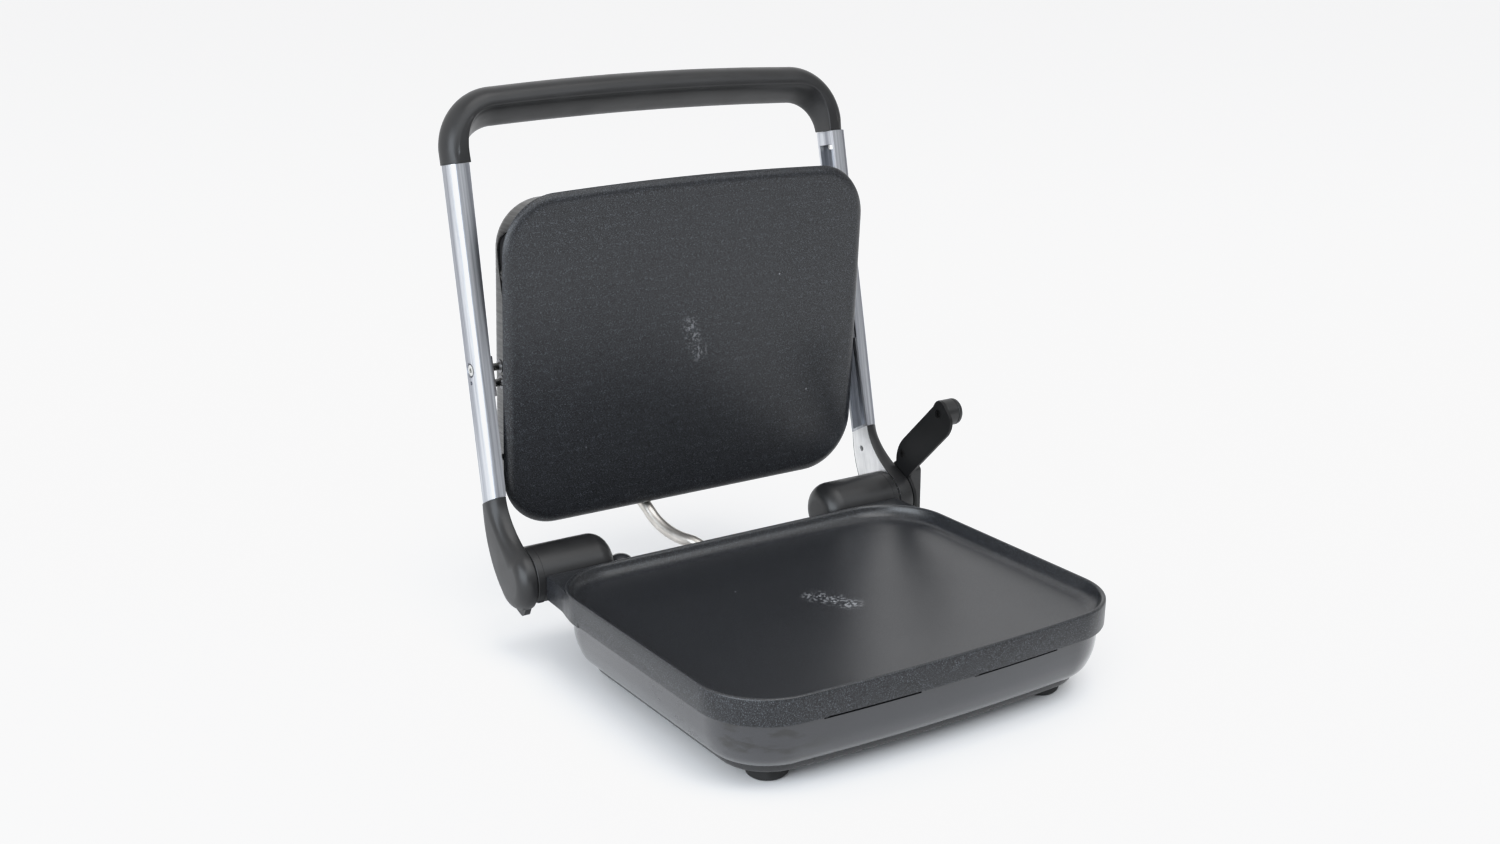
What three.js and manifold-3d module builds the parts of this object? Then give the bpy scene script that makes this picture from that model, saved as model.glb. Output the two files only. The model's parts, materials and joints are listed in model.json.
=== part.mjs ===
// Panini press with a floating upper plate, standing open on its hinge stops.
// Millimetres. +X to the right (height lever side), +Y to the back (hinge side), +Z up.
// Lengths are taken from the table, below the middle of the lower plate. The last lines of this file
// move the whole press, so that its origin is below the middle of the open press.
import * as THREE from 'three';
import { mergeVertices } from 'three/addons/utils/BufferGeometryUtils.js';
import Module from 'manifold-3d';

const wasm = await Module();
wasm.setup();

// ---------------------------------------------------------------- driving dimensions

const GAP = 0.3; // clearance between pieces that touch

// Heights of the base above the table
const FOOT_HEIGHT = 9.6;
const PARTING_Z = 17.2;
const HOUSING_TOP = 50;
const SKIRT_BOTTOM = 53.3;
const PLATE_UNDERSIDE = 57.5;
const GRILL_FLOOR = 63.2;
const RIM_TOP = 73.2;

// Plan outline of the lower plate; the front edge bows out in its middle
const LOWER_PLAN = { halfX: 166.5, halfY: 135.4, radius: 52, bow: 4 };
const LUG_BACK_Y = 136.6;
const LUG_SIDE_X = 160.5;
const LUG_INNER_X = 95;
const FOOT_X = 117.5;
const FOOT_Y = 90.6;
const REAR_FOOT_X = 92;
const REAR_FOOT_Y = 140;
const FOOT_RADIUS = 15;
const HOUSING_HALF_X = 112;
const HOUSING_BACK_Y = 168;

// Hinge
const HINGE_Y = 160;
const HINGE_Z = 64.2;
const BARREL_RADIUS = 23;
const BARREL_OUTER_X = 166.5;
const BARREL_INNER_X = 98;
const BARREL_BOTTOM = 50.4;
const SHAFT_RADIUS = 5;

// Lid arms, in the arms' own frame: hinge axis at 0, arms running to -Y, level when down
const ARM_OPEN_ANGLE = 101.51; // how far the arms stand back from level, degrees
const ARM_START = 60.5; // distance from the hinge axis to the boot's end
const ARM_END = 307.6; // distance from the hinge axis to the handle's end
const ARM_BOTTOM = 14.2; // height of the arms' lower side above the hinge axis
const ARM_DEPTH = 23;
const ARM_INNER_X = [167, 162.5]; // inner faces at the boot and at the handle
const ARM_OUTER_X = [179.3, 178]; // outer crowns at the boot and at the handle
const PIVOT_Y = -156.5;
const PIVOT_Z = 24.2;
const PIN_RADIUS = 3;
const PIN_SPACING = 12.1;
const HANDLE_TOP = 366;

// Lid, in its own frame: middle of the cooking face at 0, face down, handle side at -Y
const LID_OPEN_ANGLE = 85.98;
const LID_FACE_Y = 193.06;
const LID_FACE_Z = 214.2;
const UPPER_PLAN = { halfX: 160.3, halfY: 129.3, radius: 44, bow: 2.5 };
const COVER_PLAN = { halfX: 150.3, halfY: 119.5, radius: 36, bow: 2.5 };
const COVER_TOP = 43;
const LID_PIVOT_Y = 3;
const LID_PIVOT_Z = 21.8;
const STOP_PIN_Y = 14.6;
const STOP_PIN_Z = 18.6;

// Height lever: paddle leaning forward from the hinge axis
const LEVER_ANGLE = 135.8; // direction of the paddle, degrees from +Y towards +Z
const LEVER_INNER_X = 181.2;
const LEVER_THICKNESS = 2.6;
const KNOB_PLACE = [93.2, 25];
const KNOB_RADIUS = 10.8;
const HUB_SCREW_PLACE = [29.4, 24];

// Steel conduit from the base to the lid, point by point
const CONDUIT_RADIUS = 5;
const CONDUIT_POINTS = [
  [-12.5, 148.6, 52.4],
  [-12.9, 149, 55.5],
  [-19, 160, 61.8],
  [-24.5, 174, 63.2],
  [-28, 187, 65.8],
  [-31, 200, 71.5],
  [-32.8, 211, 79.5],
  [-34.6, 221, 87],
  [-35.4, 226, 94],
  [-35.4, 227.2, 101],
];
const CONDUIT_SPLIT = 0.5;

// ---------------------------------------------------------------- solids and meshes

function outward(geometry) {
  // Turns a closed geometry's faces outwards if its volume comes out negative.
  const p = geometry.attributes.position;
  const index = geometry.index;
  const a = new THREE.Vector3();
  const b = new THREE.Vector3();
  const c = new THREE.Vector3();
  let volume = 0;
  for (let i = 0; i < index.count; i += 3) {
    a.fromBufferAttribute(p, index.getX(i));
    b.fromBufferAttribute(p, index.getX(i + 1));
    c.fromBufferAttribute(p, index.getX(i + 2));
    volume += a.dot(b.cross(c));
  }
  if (volume < 0) {
    for (let i = 0; i < index.count; i += 3) {
      const first = index.getX(i);
      index.setX(i, index.getX(i + 1));
      index.setX(i + 1, first);
    }
  }
  return geometry;
}

function welded(geometry) {
  const bare = geometry.clone();
  bare.deleteAttribute('normal');
  bare.deleteAttribute('uv');
  return outward(mergeVertices(bare, 1e-4));
}

function solid(geometry) {
  const closed = welded(geometry);
  const mesh = new wasm.Mesh({
    numProp: 3,
    vertProperties: new Float32Array(closed.attributes.position.array),
    triVerts: new Uint32Array(closed.index.array),
  });
  return new wasm.Manifold(mesh);
}

function geometryOf(manifold) {
  const mesh = manifold.getMesh();
  const geometry = new THREE.BufferGeometry();
  geometry.setAttribute('position', new THREE.BufferAttribute(new Float32Array(mesh.vertProperties), 3));
  geometry.setIndex(new THREE.BufferAttribute(new Uint32Array(mesh.triVerts), 1));
  return geometry;
}

function joined(...geometries) {
  return geometryOf(geometries.map(solid).reduce((sum, next) => sum.add(next)));
}

function cut(geometry, ...tools) {
  return geometryOf(tools.map(solid).reduce((rest, tool) => rest.subtract(tool), solid(geometry)));
}

function mirrored(geometry) {
  const copy = welded(geometry);
  copy.scale(-1, 1, 1);
  return outward(copy);
}

function forSide(side, geometry) {
  // Pieces are drawn for the left, where x is negative, and mirrored for the right.
  return side < 0 ? geometry : mirrored(geometry);
}

// ---------------------------------------------------------------- shapes

const CORNER_STEPS = 6;
const EDGE_STEPS = 6;

function planRing(plan, inset, z) {
  // Rounded rectangle, its -Y edge bowed outwards in the middle.
  const halfX = plan.halfX - inset;
  const halfY = plan.halfY - inset;
  const radius = Math.max(plan.radius - 0.85 * inset, 6);
  const reach = halfX - radius;
  const ring = [];
  const corners = [
    [reach, -(halfY - radius), -90],
    [reach, halfY - radius, 0],
    [-reach, halfY - radius, 90],
    [-reach, -(halfY - radius), 180],
  ];
  for (const [x, y, start] of corners) {
    for (let i = 0; i <= CORNER_STEPS; i++) {
      const angle = THREE.MathUtils.degToRad(start + (90 * i) / CORNER_STEPS);
      ring.push(new THREE.Vector3(x + radius * Math.cos(angle), y + radius * Math.sin(angle), z));
    }
  }
  for (let i = 1; i < EDGE_STEPS; i++) {
    const x = -reach + (2 * reach * i) / EDGE_STEPS;
    ring.push(new THREE.Vector3(x, -halfY - plan.bow * (1 - (x / reach) ** 2), z));
  }
  return ring;
}

function cap(ring, first, direction) {
  // Triangles that close a flat ring, found in the two axes it spans most.
  const size = new THREE.Box3().setFromPoints(ring).getSize(new THREE.Vector3());
  const [u, v] = ['x', 'y', 'z'].sort((a, b) => size[b] - size[a]);
  const flat = ring.map((point) => new THREE.Vector2(point[u], point[v]));
  const ringTurn = Math.sign(THREE.ShapeUtils.area(flat));
  return THREE.ShapeUtils.triangulateShape(flat, []).flatMap(([a, b, c]) => {
    const turn = Math.sign(THREE.ShapeUtils.area([flat[a], flat[b], flat[c]]));
    return turn === ringTurn * direction ? [first + a, first + b, first + c] : [first + a, first + c, first + b];
  });
}

function loft(rings) {
  // Closed skin through rings of equal length, flat at both ends.
  const count = rings[0].length;
  const faces = [];
  for (let r = 0; r + 1 < rings.length; r++) {
    for (let i = 0; i < count; i++) {
      const a = r * count + i;
      const b = r * count + ((i + 1) % count);
      faces.push(a, b, b + count, a, b + count, a + count);
    }
  }
  const last = rings.length - 1;
  faces.push(...cap(rings[0], 0, -1), ...cap(rings[last], last * count, 1));
  const geometry = new THREE.BufferGeometry();
  geometry.setFromPoints(rings.flat());
  geometry.setIndex(faces);
  return outward(geometry);
}

function planLoft(plan, levels) {
  return loft(levels.map(([z, inset]) => planRing(plan, inset, z)));
}

function box(x0, x1, y0, y1, z0, z1) {
  const geometry = new THREE.BoxGeometry(x1 - x0, y1 - y0, z1 - z0);
  return geometry.translate((x0 + x1) / 2, (y0 + y1) / 2, (z0 + z1) / 2);
}

function rodX(radius, x0, x1, y, z, sides = 20) {
  const geometry = new THREE.CylinderGeometry(radius, radius, Math.abs(x1 - x0), sides);
  return geometry.rotateZ(Math.PI / 2).translate((x0 + x1) / 2, y, z);
}

function rodY(radius, y0, y1, x, z, sides = 20) {
  const geometry = new THREE.CylinderGeometry(radius, radius, Math.abs(y1 - y0), sides);
  return geometry.translate(x, (y0 + y1) / 2, z);
}

function rodZ(radius, z0, z1, x, y, sides = 20) {
  const geometry = new THREE.CylinderGeometry(radius, radius, Math.abs(z1 - z0), sides);
  return geometry.rotateX(Math.PI / 2).translate(x, y, (z0 + z1) / 2);
}

function turnedX(profile, y, z, sides = 24) {
  // Profile of [radius, x] pairs, starting and ending on the axis.
  const points = profile.map(([radius, x]) => new THREE.Vector2(radius, x));
  return new THREE.LatheGeometry(points, sides).rotateZ(-Math.PI / 2).translate(0, y, z);
}

function turnedZ(profile, x, y, sides = 24) {
  const points = profile.map(([radius, z]) => new THREE.Vector2(radius, z));
  return new THREE.LatheGeometry(points, sides).rotateX(Math.PI / 2).translate(x, y, 0);
}

function extrudedX(shape, x0, x1, steps = 8) {
  // Shape drawn in the YZ plane, given thickness along X.
  const geometry = new THREE.ExtrudeGeometry(shape, { depth: x1 - x0, bevelEnabled: false, curveSegments: steps });
  const axes = new THREE.Matrix4().makeBasis(
    new THREE.Vector3(0, 1, 0),
    new THREE.Vector3(0, 0, 1),
    new THREE.Vector3(1, 0, 0),
  );
  return geometry.applyMatrix4(axes).translate(x0, 0, 0);
}

function extrudedZ(shape, z0, z1) {
  const geometry = new THREE.ExtrudeGeometry(shape, { depth: z1 - z0, bevelEnabled: false, curveSegments: 6 });
  return geometry.translate(0, 0, z0);
}

function polygon(points) {
  return new THREE.Shape(points.map(([x, y]) => new THREE.Vector2(x, y)));
}

function circleShape(radius) {
  const shape = new THREE.Shape();
  shape.absarc(0, 0, radius, 0, 2 * Math.PI);
  return shape;
}

function tubeAlong(curve, radius, steps, sides = 8) {
  const geometry = new THREE.ExtrudeGeometry(circleShape(radius), {
    steps,
    curveSegments: sides,
    bevelEnabled: false,
    extrudePath: curve,
  });
  return geometry;
}

// ---------------------------------------------------------------- materials

function finish(color, roughness, metalness) {
  return new THREE.MeshStandardMaterial({ color, roughness, metalness });
}

const NONSTICK = finish(0x34363a, 0.45, 0.2);
const SHELL_PLASTIC = finish(0x54565a, 0.25, 0.0);
const BLACK_PLASTIC = finish(0x242426, 0.45, 0.0);
const RUBBER = finish(0x141414, 0.8, 0.0);
const POLISHED_ALUMINIUM = finish(0xc8cacf, 0.18, 1.0);
const BRUSHED_STEEL = finish(0xa6a6a4, 0.35, 1.0);
const BRIGHT_STEEL = finish(0xbdbdbb, 0.25, 1.0);
const SPRING_STEEL = finish(0x77777a, 0.4, 1.0);
const CONDUIT_STEEL = finish(0x9a948c, 0.32, 1.0);
const ELEMENT_STEEL = finish(0x6b665f, 0.55, 0.8);
const CERAMIC = finish(0xd9d4c8, 0.7, 0.0);

function mesh(name, geometry, material) {
  const made = new THREE.Mesh(welded(geometry), material);
  made.name = name;
  return made;
}

const SIDES = [
  ['left', -1],
  ['right', 1],
];

// ---------------------------------------------------------------- base

function lugShape(side) {
  // Rear corner of the lower plate, carried back to the hinge barrel.
  const outer = [
    [130, 78],
    [166.3, 84],
    [163.8, 101],
    [161.3, 115],
    [LUG_SIDE_X, LUG_BACK_Y],
    [LUG_INNER_X, LUG_BACK_Y],
    [LUG_INNER_X, 120],
  ];
  return polygon(outer.map(([x, y]) => [side * x, y]));
}

function lowerPlate() {
  const body = planLoft(LOWER_PLAN, [
    [SKIRT_BOTTOM, 1.2],
    [SKIRT_BOTTOM + 1.2, 0.5],
    [RIM_TOP - 1.0, 0],
    [RIM_TOP, 0.6],
  ]);
  const lugs = SIDES.map(([, side]) => extrudedZ(lugShape(side), SKIRT_BOTTOM, RIM_TOP - 0.2));
  const recess = planLoft(LOWER_PLAN, [
    [RIM_TOP + 1, 3.2],
    [RIM_TOP - 0.6, 3.4],
    [RIM_TOP - 2.6, 4.6],
    [GRILL_FLOOR + 4.5, 7.6],
    [GRILL_FLOOR + 1.5, 10.6],
    [GRILL_FLOOR, 14.5],
  ]);
  const pocket = planLoft(LOWER_PLAN, [
    [SKIRT_BOTTOM - 1, 3.2],
    [PLATE_UNDERSIDE, 3.4],
  ]);
  return cut(joined(body, ...lugs), recess, pocket);
}

function rearHousing(grow, z0, z1) {
  const x = HOUSING_HALF_X + grow;
  const corner = 14 + grow;
  const back = HOUSING_BACK_Y + grow;
  const shape = new THREE.Shape();
  shape.moveTo(-x, 96);
  shape.lineTo(x, 96);
  shape.lineTo(x, back - corner);
  shape.quadraticCurveTo(x, back, x - corner, back);
  shape.lineTo(-x + corner, back);
  shape.quadraticCurveTo(-x, back, -x, back - corner);
  return extrudedZ(shape, z0, z1);
}

const CABLE_BOSS = { x: -85, y: 158, radius: 9, top: 64.5 };
const GLAND = { x: -58, z: 31, radius: 7.5 };

function baseShell() {
  const outside = planLoft(LOWER_PLAN, [
    [PARTING_Z, 19],
    [19.7, 15.8],
    [23.7, 11.3],
    [29, 8.4],
    [35, 6.5],
    [42, 5.4],
    [56.6, 4.8],
  ]);
  const inside = planLoft(LOWER_PLAN, [
    [PARTING_Z - 1, 23],
    [20.5, 18.6],
    [24.5, 14.2],
    [30, 11.1],
    [36, 9.2],
    [57.6, 7.4],
  ]);
  const boss = turnedZ(
    [
      [0, HOUSING_TOP - 1],
      [CABLE_BOSS.radius, HOUSING_TOP - 1],
      [CABLE_BOSS.radius, CABLE_BOSS.top - 8],
      [CABLE_BOSS.radius * 0.87, CABLE_BOSS.top - 3.8],
      [CABLE_BOSS.radius * 0.5, CABLE_BOSS.top - 1],
      [0, CABLE_BOSS.top],
    ],
    CABLE_BOSS.x,
    CABLE_BOSS.y,
    16,
  );
  const glandHole = rodY(GLAND.radius + GAP, HOUSING_BACK_Y - 10, HOUSING_BACK_Y + 5, GLAND.x, GLAND.z);
  const walls = joined(outside, rearHousing(0, PARTING_Z, HOUSING_TOP), boss);
  return cut(walls, inside, rearHousing(-2.6, PARTING_Z - 1, HOUSING_TOP - 2.6), glandHole);
}

function bottomCover() {
  const outside = planLoft(LOWER_PLAN, [
    [PARTING_Z - GAP, 19.8],
    [14.6, 20.6],
    [12.3, 23],
    [10.6, 27],
    [FOOT_HEIGHT, 34],
  ]);
  const inside = planLoft(LOWER_PLAN, [
    [PARTING_Z + 1, 22.4],
    [14.2, 23.6],
    [12.4, 28],
    [11.8, 36],
  ]);
  const well = rearHousing(-2.6, 11.8, PARTING_Z + 1);
  const stems = feetPlaces().map(([, x, y]) => rodZ(4 + GAP, 8, 16, x, y, 12));
  return cut(joined(outside, rearHousing(0, FOOT_HEIGHT, PARTING_Z - GAP)), inside, well, ...stems);
}

function feetPlaces() {
  return [
    ['foot_front_left', -FOOT_X, -FOOT_Y],
    ['foot_front_right', FOOT_X, -FOOT_Y],
    ['foot_rear_left', -REAR_FOOT_X, REAR_FOOT_Y],
    ['foot_rear_right', REAR_FOOT_X, REAR_FOOT_Y],
  ];
}

function foot(x, y) {
  const top = FOOT_HEIGHT - GAP;
  return turnedZ(
    [
      [0, 0],
      [FOOT_RADIUS - 4, 0],
      [FOOT_RADIUS - 1.6, 1.1],
      [FOOT_RADIUS - 0.3, 3.2],
      [FOOT_RADIUS, 6],
      [FOOT_RADIUS, top],
      [4, top],
      [4, 14],
      [0, 14],
    ],
    x,
    y,
  );
}

function elementLoop(halfX, front, back, z, leadX) {
  // One heating loop below a plate, with both ends turned towards the back.
  const corner = 28;
  return new THREE.CatmullRomCurve3(
    [
      [-leadX, back + 26],
      [-leadX, back + 8],
      [-leadX - 14, back - 4],
      [-halfX + corner, back - 6],
      [-halfX, back - corner - 6],
      [-halfX, front + corner],
      [-halfX + corner, front],
      [halfX - corner, front],
      [halfX, front + corner],
      [halfX, back - corner - 6],
      [halfX - corner, back - 6],
      [leadX + 14, back - 4],
      [leadX, back + 8],
      [leadX, back + 26],
    ].map(([x, y]) => new THREE.Vector3(x, y, z)),
    false,
    'centripetal',
  );
}

function hingeBarrel() {
  // Left barrel: round inner end, open outer end, flat underneath, and a block beside the plate's lug.
  const dome = 15;
  const profile = [[0, -BARREL_INNER_X]];
  for (let i = 1; i <= 5; i++) {
    const angle = (i * Math.PI) / 10;
    profile.push([
      BARREL_RADIUS - dome + dome * Math.sin(angle),
      -BARREL_INNER_X - dome + dome * Math.cos(angle),
    ]);
  }
  profile.push([BARREL_RADIUS, -BARREL_OUTER_X], [0, -BARREL_OUTER_X]);
  const barrel = turnedX(profile, HINGE_Y, HINGE_Z);
  const block = box(-BARREL_OUTER_X + 0.4, -LUG_SIDE_X - 0.8, LUG_BACK_Y + 4, HINGE_Y - 10, BARREL_BOTTOM, 71);
  const below = box(-BARREL_OUTER_X - 1, -BARREL_INNER_X + 1, 130, 190, 30, BARREL_BOTTOM);
  const bore = rodX(13, -BARREL_OUTER_X - 1, -BARREL_INNER_X - 14, HINGE_Y, HINGE_Z);
  return cut(joined(barrel, block), below, bore);
}

function hingeSpring(x0) {
  // Close-wound torsion spring round the hinge shaft.
  const turns = 5;
  const pitch = 4.4;
  const radius = 9.5;
  class Coil extends THREE.Curve {
    getPoint(t, target = new THREE.Vector3()) {
      const angle = t * turns * 2 * Math.PI;
      return target.set(
        x0 + t * turns * pitch,
        HINGE_Y + radius * Math.cos(angle),
        HINGE_Z + radius * Math.sin(angle),
      );
    }
  }
  return tubeAlong(new Coil(), 1.5, turns * 10, 3);
}

function leverHousing() {
  // Upright block that carries the lever's outer bearing.
  const shape = new THREE.Shape();
  shape.moveTo(148, 44);
  shape.lineTo(174, 44);
  shape.lineTo(174, 84);
  shape.quadraticCurveTo(174, 92, 166, 92);
  shape.lineTo(151, 92);
  shape.lineTo(148, 89);
  const block = extrudedX(shape, LEVER_INNER_X + LEVER_THICKNESS + 0.4, 196.5, 4);
  const bearing = rodX(SHAFT_RADIUS + GAP, LEVER_INNER_X, 195, HINGE_Y, HINGE_Z);
  return cut(block, bearing);
}

function conduitCurve() {
  return new THREE.CatmullRomCurve3(
    CONDUIT_POINTS.map(([x, y, z]) => new THREE.Vector3(x, y, z)),
    false,
    'centripetal',
  );
}

function conduitRun(from, to) {
  const whole = conduitCurve();
  const points = [];
  for (let i = 0; i <= 8; i++) {
    points.push(whole.getPointAt(THREE.MathUtils.lerp(from, to, i / 8)));
  }
  return tubeAlong(new THREE.CatmullRomCurve3(points, false, 'centripetal'), CONDUIT_RADIUS, 10, 5);
}

function baseSocket() {
  const [x, y, z] = CONDUIT_POINTS[0];
  const ring = rodZ(CONDUIT_RADIUS + 3.5, HOUSING_TOP + GAP, HOUSING_TOP + 4, x, y, 20);
  return cut(ring, rodZ(CONDUIT_RADIUS + 1.8, z - 3, z + 8, x, y, 20));
}

function terminalBlock() {
  const body = box(10, 62, 132, 150, 12.2, 32);
  const wells = [0, 1, 2].map((i) => box(13 + 17 * i, 25 + 17 * i, 130, 144, 20, 34));
  return cut(body, ...wells);
}

function baseMeshes() {
  const pieces = [
    mesh('base_shell', baseShell(), SHELL_PLASTIC),
    mesh('bottom_cover', bottomCover(), SHELL_PLASTIC),
    mesh('lower_plate', lowerPlate(), NONSTICK),
    mesh('lower_element', tubeAlong(elementLoop(118, -92, 80, 53.9, 12), 3.2, 44, 4), ELEMENT_STEEL),
    mesh('lower_thermostat', rodZ(11, 46, PLATE_UNDERSIDE - GAP, 0, -4, 18), BRIGHT_STEEL),
    mesh('terminal_block', terminalBlock(), CERAMIC),
    mesh('conduit_socket_base', baseSocket(), BRIGHT_STEEL),
    mesh('lever_housing', leverHousing(), BLACK_PLASTIC),
  ];
  for (const [name, x, y] of feetPlaces()) {
    pieces.push(mesh(name, foot(x, y), RUBBER));
  }
  const gland = rodY(GLAND.radius, HOUSING_BACK_Y - 8, HOUSING_BACK_Y + 6, GLAND.x, GLAND.z);
  const glandHole = rodY(3.8, HOUSING_BACK_Y - 9, HOUSING_BACK_Y + 7, GLAND.x, GLAND.z, 14);
  pieces.push(mesh('cord_gland', cut(gland, glandHole), RUBBER));
  for (const [word, side] of SIDES) {
    const shaftEnd = side < 0 ? 176 : 194;
    const shaft = rodX(SHAFT_RADIUS, -shaftEnd, -BARREL_INNER_X - 14.6, HINGE_Y, HINGE_Z, 16);
    pieces.push(
      mesh(`hinge_barrel_${word}`, forSide(side, hingeBarrel()), BLACK_PLASTIC),
      mesh(`hinge_shaft_${word}`, forSide(side, shaft), BRIGHT_STEEL),
      mesh(`hinge_spring_${word}`, forSide(side, hingeSpring(-148)), SPRING_STEEL),
    );
  }
  return pieces;
}

// ---------------------------------------------------------------- lid arms

function alongArm(distance, [atBoot, atHandle]) {
  return THREE.MathUtils.mapLinear(distance, ARM_START, ARM_END, atBoot, atHandle);
}

function armRing(distance, outline) {
  // outline: [across, up] pairs; across runs from the inner face (0) to the outer crown (1).
  const inner = alongArm(distance, ARM_INNER_X);
  const outer = alongArm(distance, ARM_OUTER_X);
  return outline.map(([across, up]) => {
    const x = inner + across * (outer - inner);
    return new THREE.Vector3(-x, -distance, ARM_BOTTOM + up * ARM_DEPTH);
  });
}

const ARM_OUTLINE = [
  [0, 0],
  [0.5, 0],
  [0.78, 0.06],
  [0.94, 0.22],
  [1, 0.5],
  [0.94, 0.78],
  [0.78, 0.94],
  [0.5, 1],
  [0, 1],
];
const CHANNEL_OUTLINE = [
  [-0.2, 0.11],
  [0.55, 0.11],
  [0.76, 0.24],
  [0.76, 0.76],
  [0.55, 0.89],
  [-0.2, 0.89],
];

function bootOutline(inset) {
  // Side view of the hinge end: a disc round the axis, blended into the arm.
  const radius = 23.4 - inset;
  const shape = new THREE.Shape();
  shape.moveTo(-ARM_START, ARM_BOTTOM + inset);
  shape.bezierCurveTo(-45, ARM_BOTTOM + inset, -29 + inset, 2, -19.2 + inset, -13.4 + inset);
  shape.absarc(0, 0, radius, THREE.MathUtils.degToRad(215), THREE.MathUtils.degToRad(418), false);
  shape.bezierCurveTo(-10, 37 - inset, -35, 40 - inset, -ARM_START, ARM_BOTTOM + ARM_DEPTH - inset);
  return shape;
}

const LUG_PLATE_X = [167.3, 170.8];

function armCasting() {
  const bar = loft([armRing(ARM_START + GAP, ARM_OUTLINE), armRing(ARM_END, ARM_OUTLINE)]);
  const lug = extrudedX(bootOutline(3.6), -LUG_PLATE_X[1], -LUG_PLATE_X[0], 7);
  const tongue = box(-LUG_PLATE_X[1], -LUG_PLATE_X[0], -70, -ARM_START + 3, ARM_BOTTOM + 3.4, ARM_BOTTOM + 19.4);
  const channel = loft([armRing(64, CHANNEL_OUTLINE), armRing(296.5, CHANNEL_OUTLINE)]);
  const boss = rodX(7, -176, -alongArm(-PIVOT_Y, ARM_INNER_X) - 1.5, PIVOT_Y, PIVOT_Z, 16);
  const pinBore = rodX(PIN_RADIUS + GAP, -171.3, -160, PIVOT_Y, PIVOT_Z, 16);
  const screwBore = rodX(2.9, -180, -170, PIVOT_Y, PIVOT_Z, 12);
  const screwWell = rodX(5, -182, -175.6, PIVOT_Y, PIVOT_Z, 16);
  const shaftBore = rodX(SHAFT_RADIUS + GAP, -172, -166, 0, 0, 20);
  const viewHole = rodX(2.3, -172, -166, -46, ARM_BOTTOM + 13, 12);
  const handleBore = rodY(2.4, -ARM_END - 2, -294, -169.5, ARM_BOTTOM + 11.5, 10);
  const grooves = [rodX(1.6, -182, -177.4, PIVOT_Y + 9.5, PIVOT_Z, 8)];
  const open = cut(joined(bar, lug, tongue), channel);
  return cut(joined(open, boss), pinBore, screwBore, screwWell, shaftBore, viewHole, handleBore, ...grooves);
}

function bootLoft(levels) {
  return loft(
    levels.map(([x, inset]) =>
      bootOutline(inset)
        .getPoints(7)
        .map((point) => new THREE.Vector3(-x, point.x, point.y)),
    ),
  );
}

function armBoot(side) {
  // Black cover over the outside of the hinge end, domed outwards, with a stop toe.
  const body = bootLoft([
    [167.2, 0],
    [171.5, 0.3],
    [175, 1.5],
    [177.8, 3.8],
    [179.6, 6.6],
    [180.6, 10],
  ]);
  const hollow = bootLoft([
    [166, 2.6],
    [172, 2.9],
    [175, 4.4],
    [176.6, 6.8],
  ]);
  const mouth = box(-176.6, -160, -ARM_START - 2, -ARM_START + 12, ARM_BOTTOM + 2.8, ARM_BOTTOM + 20.2);
  const toe = extrudedX(
    polygon([
      [16, 14],
      [17, -9],
      [27, -2.5],
      [27.6, 1],
      [21.5, 13],
    ]),
    -171.5,
    -167.4,
  );
  const shell = joined(cut(body, hollow, mouth), cut(toe, rodX(20.6, -173, -166, 0, 0, 32)));
  return side < 0 ? shell : cut(shell, rodX(SHAFT_RADIUS + GAP, -184, -170, 0, 0, 20));
}

const HANDLE_REACH = 132.5; // where the corners' centres are, out from the middle
const HANDLE_WIDTH_LEG = 18;

function handleStation(x, angle) {
  // Inner and outer edges of the grip, as [x, distance], at one station of the right half.
  const bowed = 3.5 * (1 - (Math.min(Math.abs(x), HANDLE_REACH) / HANDLE_REACH) ** 2);
  const inner = [x + 28 * Math.cos(angle), 306 + 28 * Math.sin(angle) + bowed * 0.8];
  const outer = [x + 46 * Math.cos(angle), HANDLE_TOP - 49.5 + 46 * Math.sin(angle) + bowed];
  return [inner, outer];
}

function gripRing([inner, outer], taper, flip) {
  // taper is 0 on the legs and 1 along the top, where the inner edge is bevelled for fingers.
  const dx = outer[0] - inner[0];
  const dy = outer[1] - inner[1];
  const width = Math.hypot(dx, dy);
  const outline = [
    [0.4 + 13 * taper, 0],
    [width - 11, 0.3],
    [width - 6, 2.6],
    [width - 2.2, 7.2],
    [width, 14],
    [width - 0.8, 18.5],
    [width - 3.2, 22.2],
    [width - 7.5, 23.8],
    [5, 24],
    [1.2, 23.2],
    [0, 21],
    [5 * taper, 11],
    [0.2 + 10.2 * taper, 3.4],
  ];
  return outline.map(([along, up]) => {
    const x = inner[0] + (dx / width) * along;
    const y = inner[1] + (dy / width) * along;
    return new THREE.Vector3(flip * x, -y, ARM_BOTTOM + up);
  });
}

function handle() {
  const half = [];
  const start = ARM_END + GAP;
  half.push([[[HANDLE_REACH + 28, start], [HANDLE_REACH + 28 + HANDLE_WIDTH_LEG, start]], 0]);
  for (let i = 1; i <= 8; i++) {
    const angle = (i * Math.PI) / 16;
    half.push([handleStation(HANDLE_REACH, angle), THREE.MathUtils.smoothstep(i, 0, 6)]);
  }
  for (const share of [0.66, 0.33]) {
    half.push([handleStation(HANDLE_REACH * share, Math.PI / 2), 1]);
  }
  const rings = half.map(([station, taper]) => gripRing(station, taper, 1));
  rings.push(gripRing(handleStation(0, Math.PI / 2), 1, 1));
  half.reverse().forEach(([station, taper]) => rings.push(gripRing(station, taper, -1)));
  const bores = SIDES.map(([, side]) => rodY(2.4, -320, -ARM_END + 2, side * 169.5, ARM_BOTTOM + 11.5, 10));
  return cut(loft(rings), ...bores);
}

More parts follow.
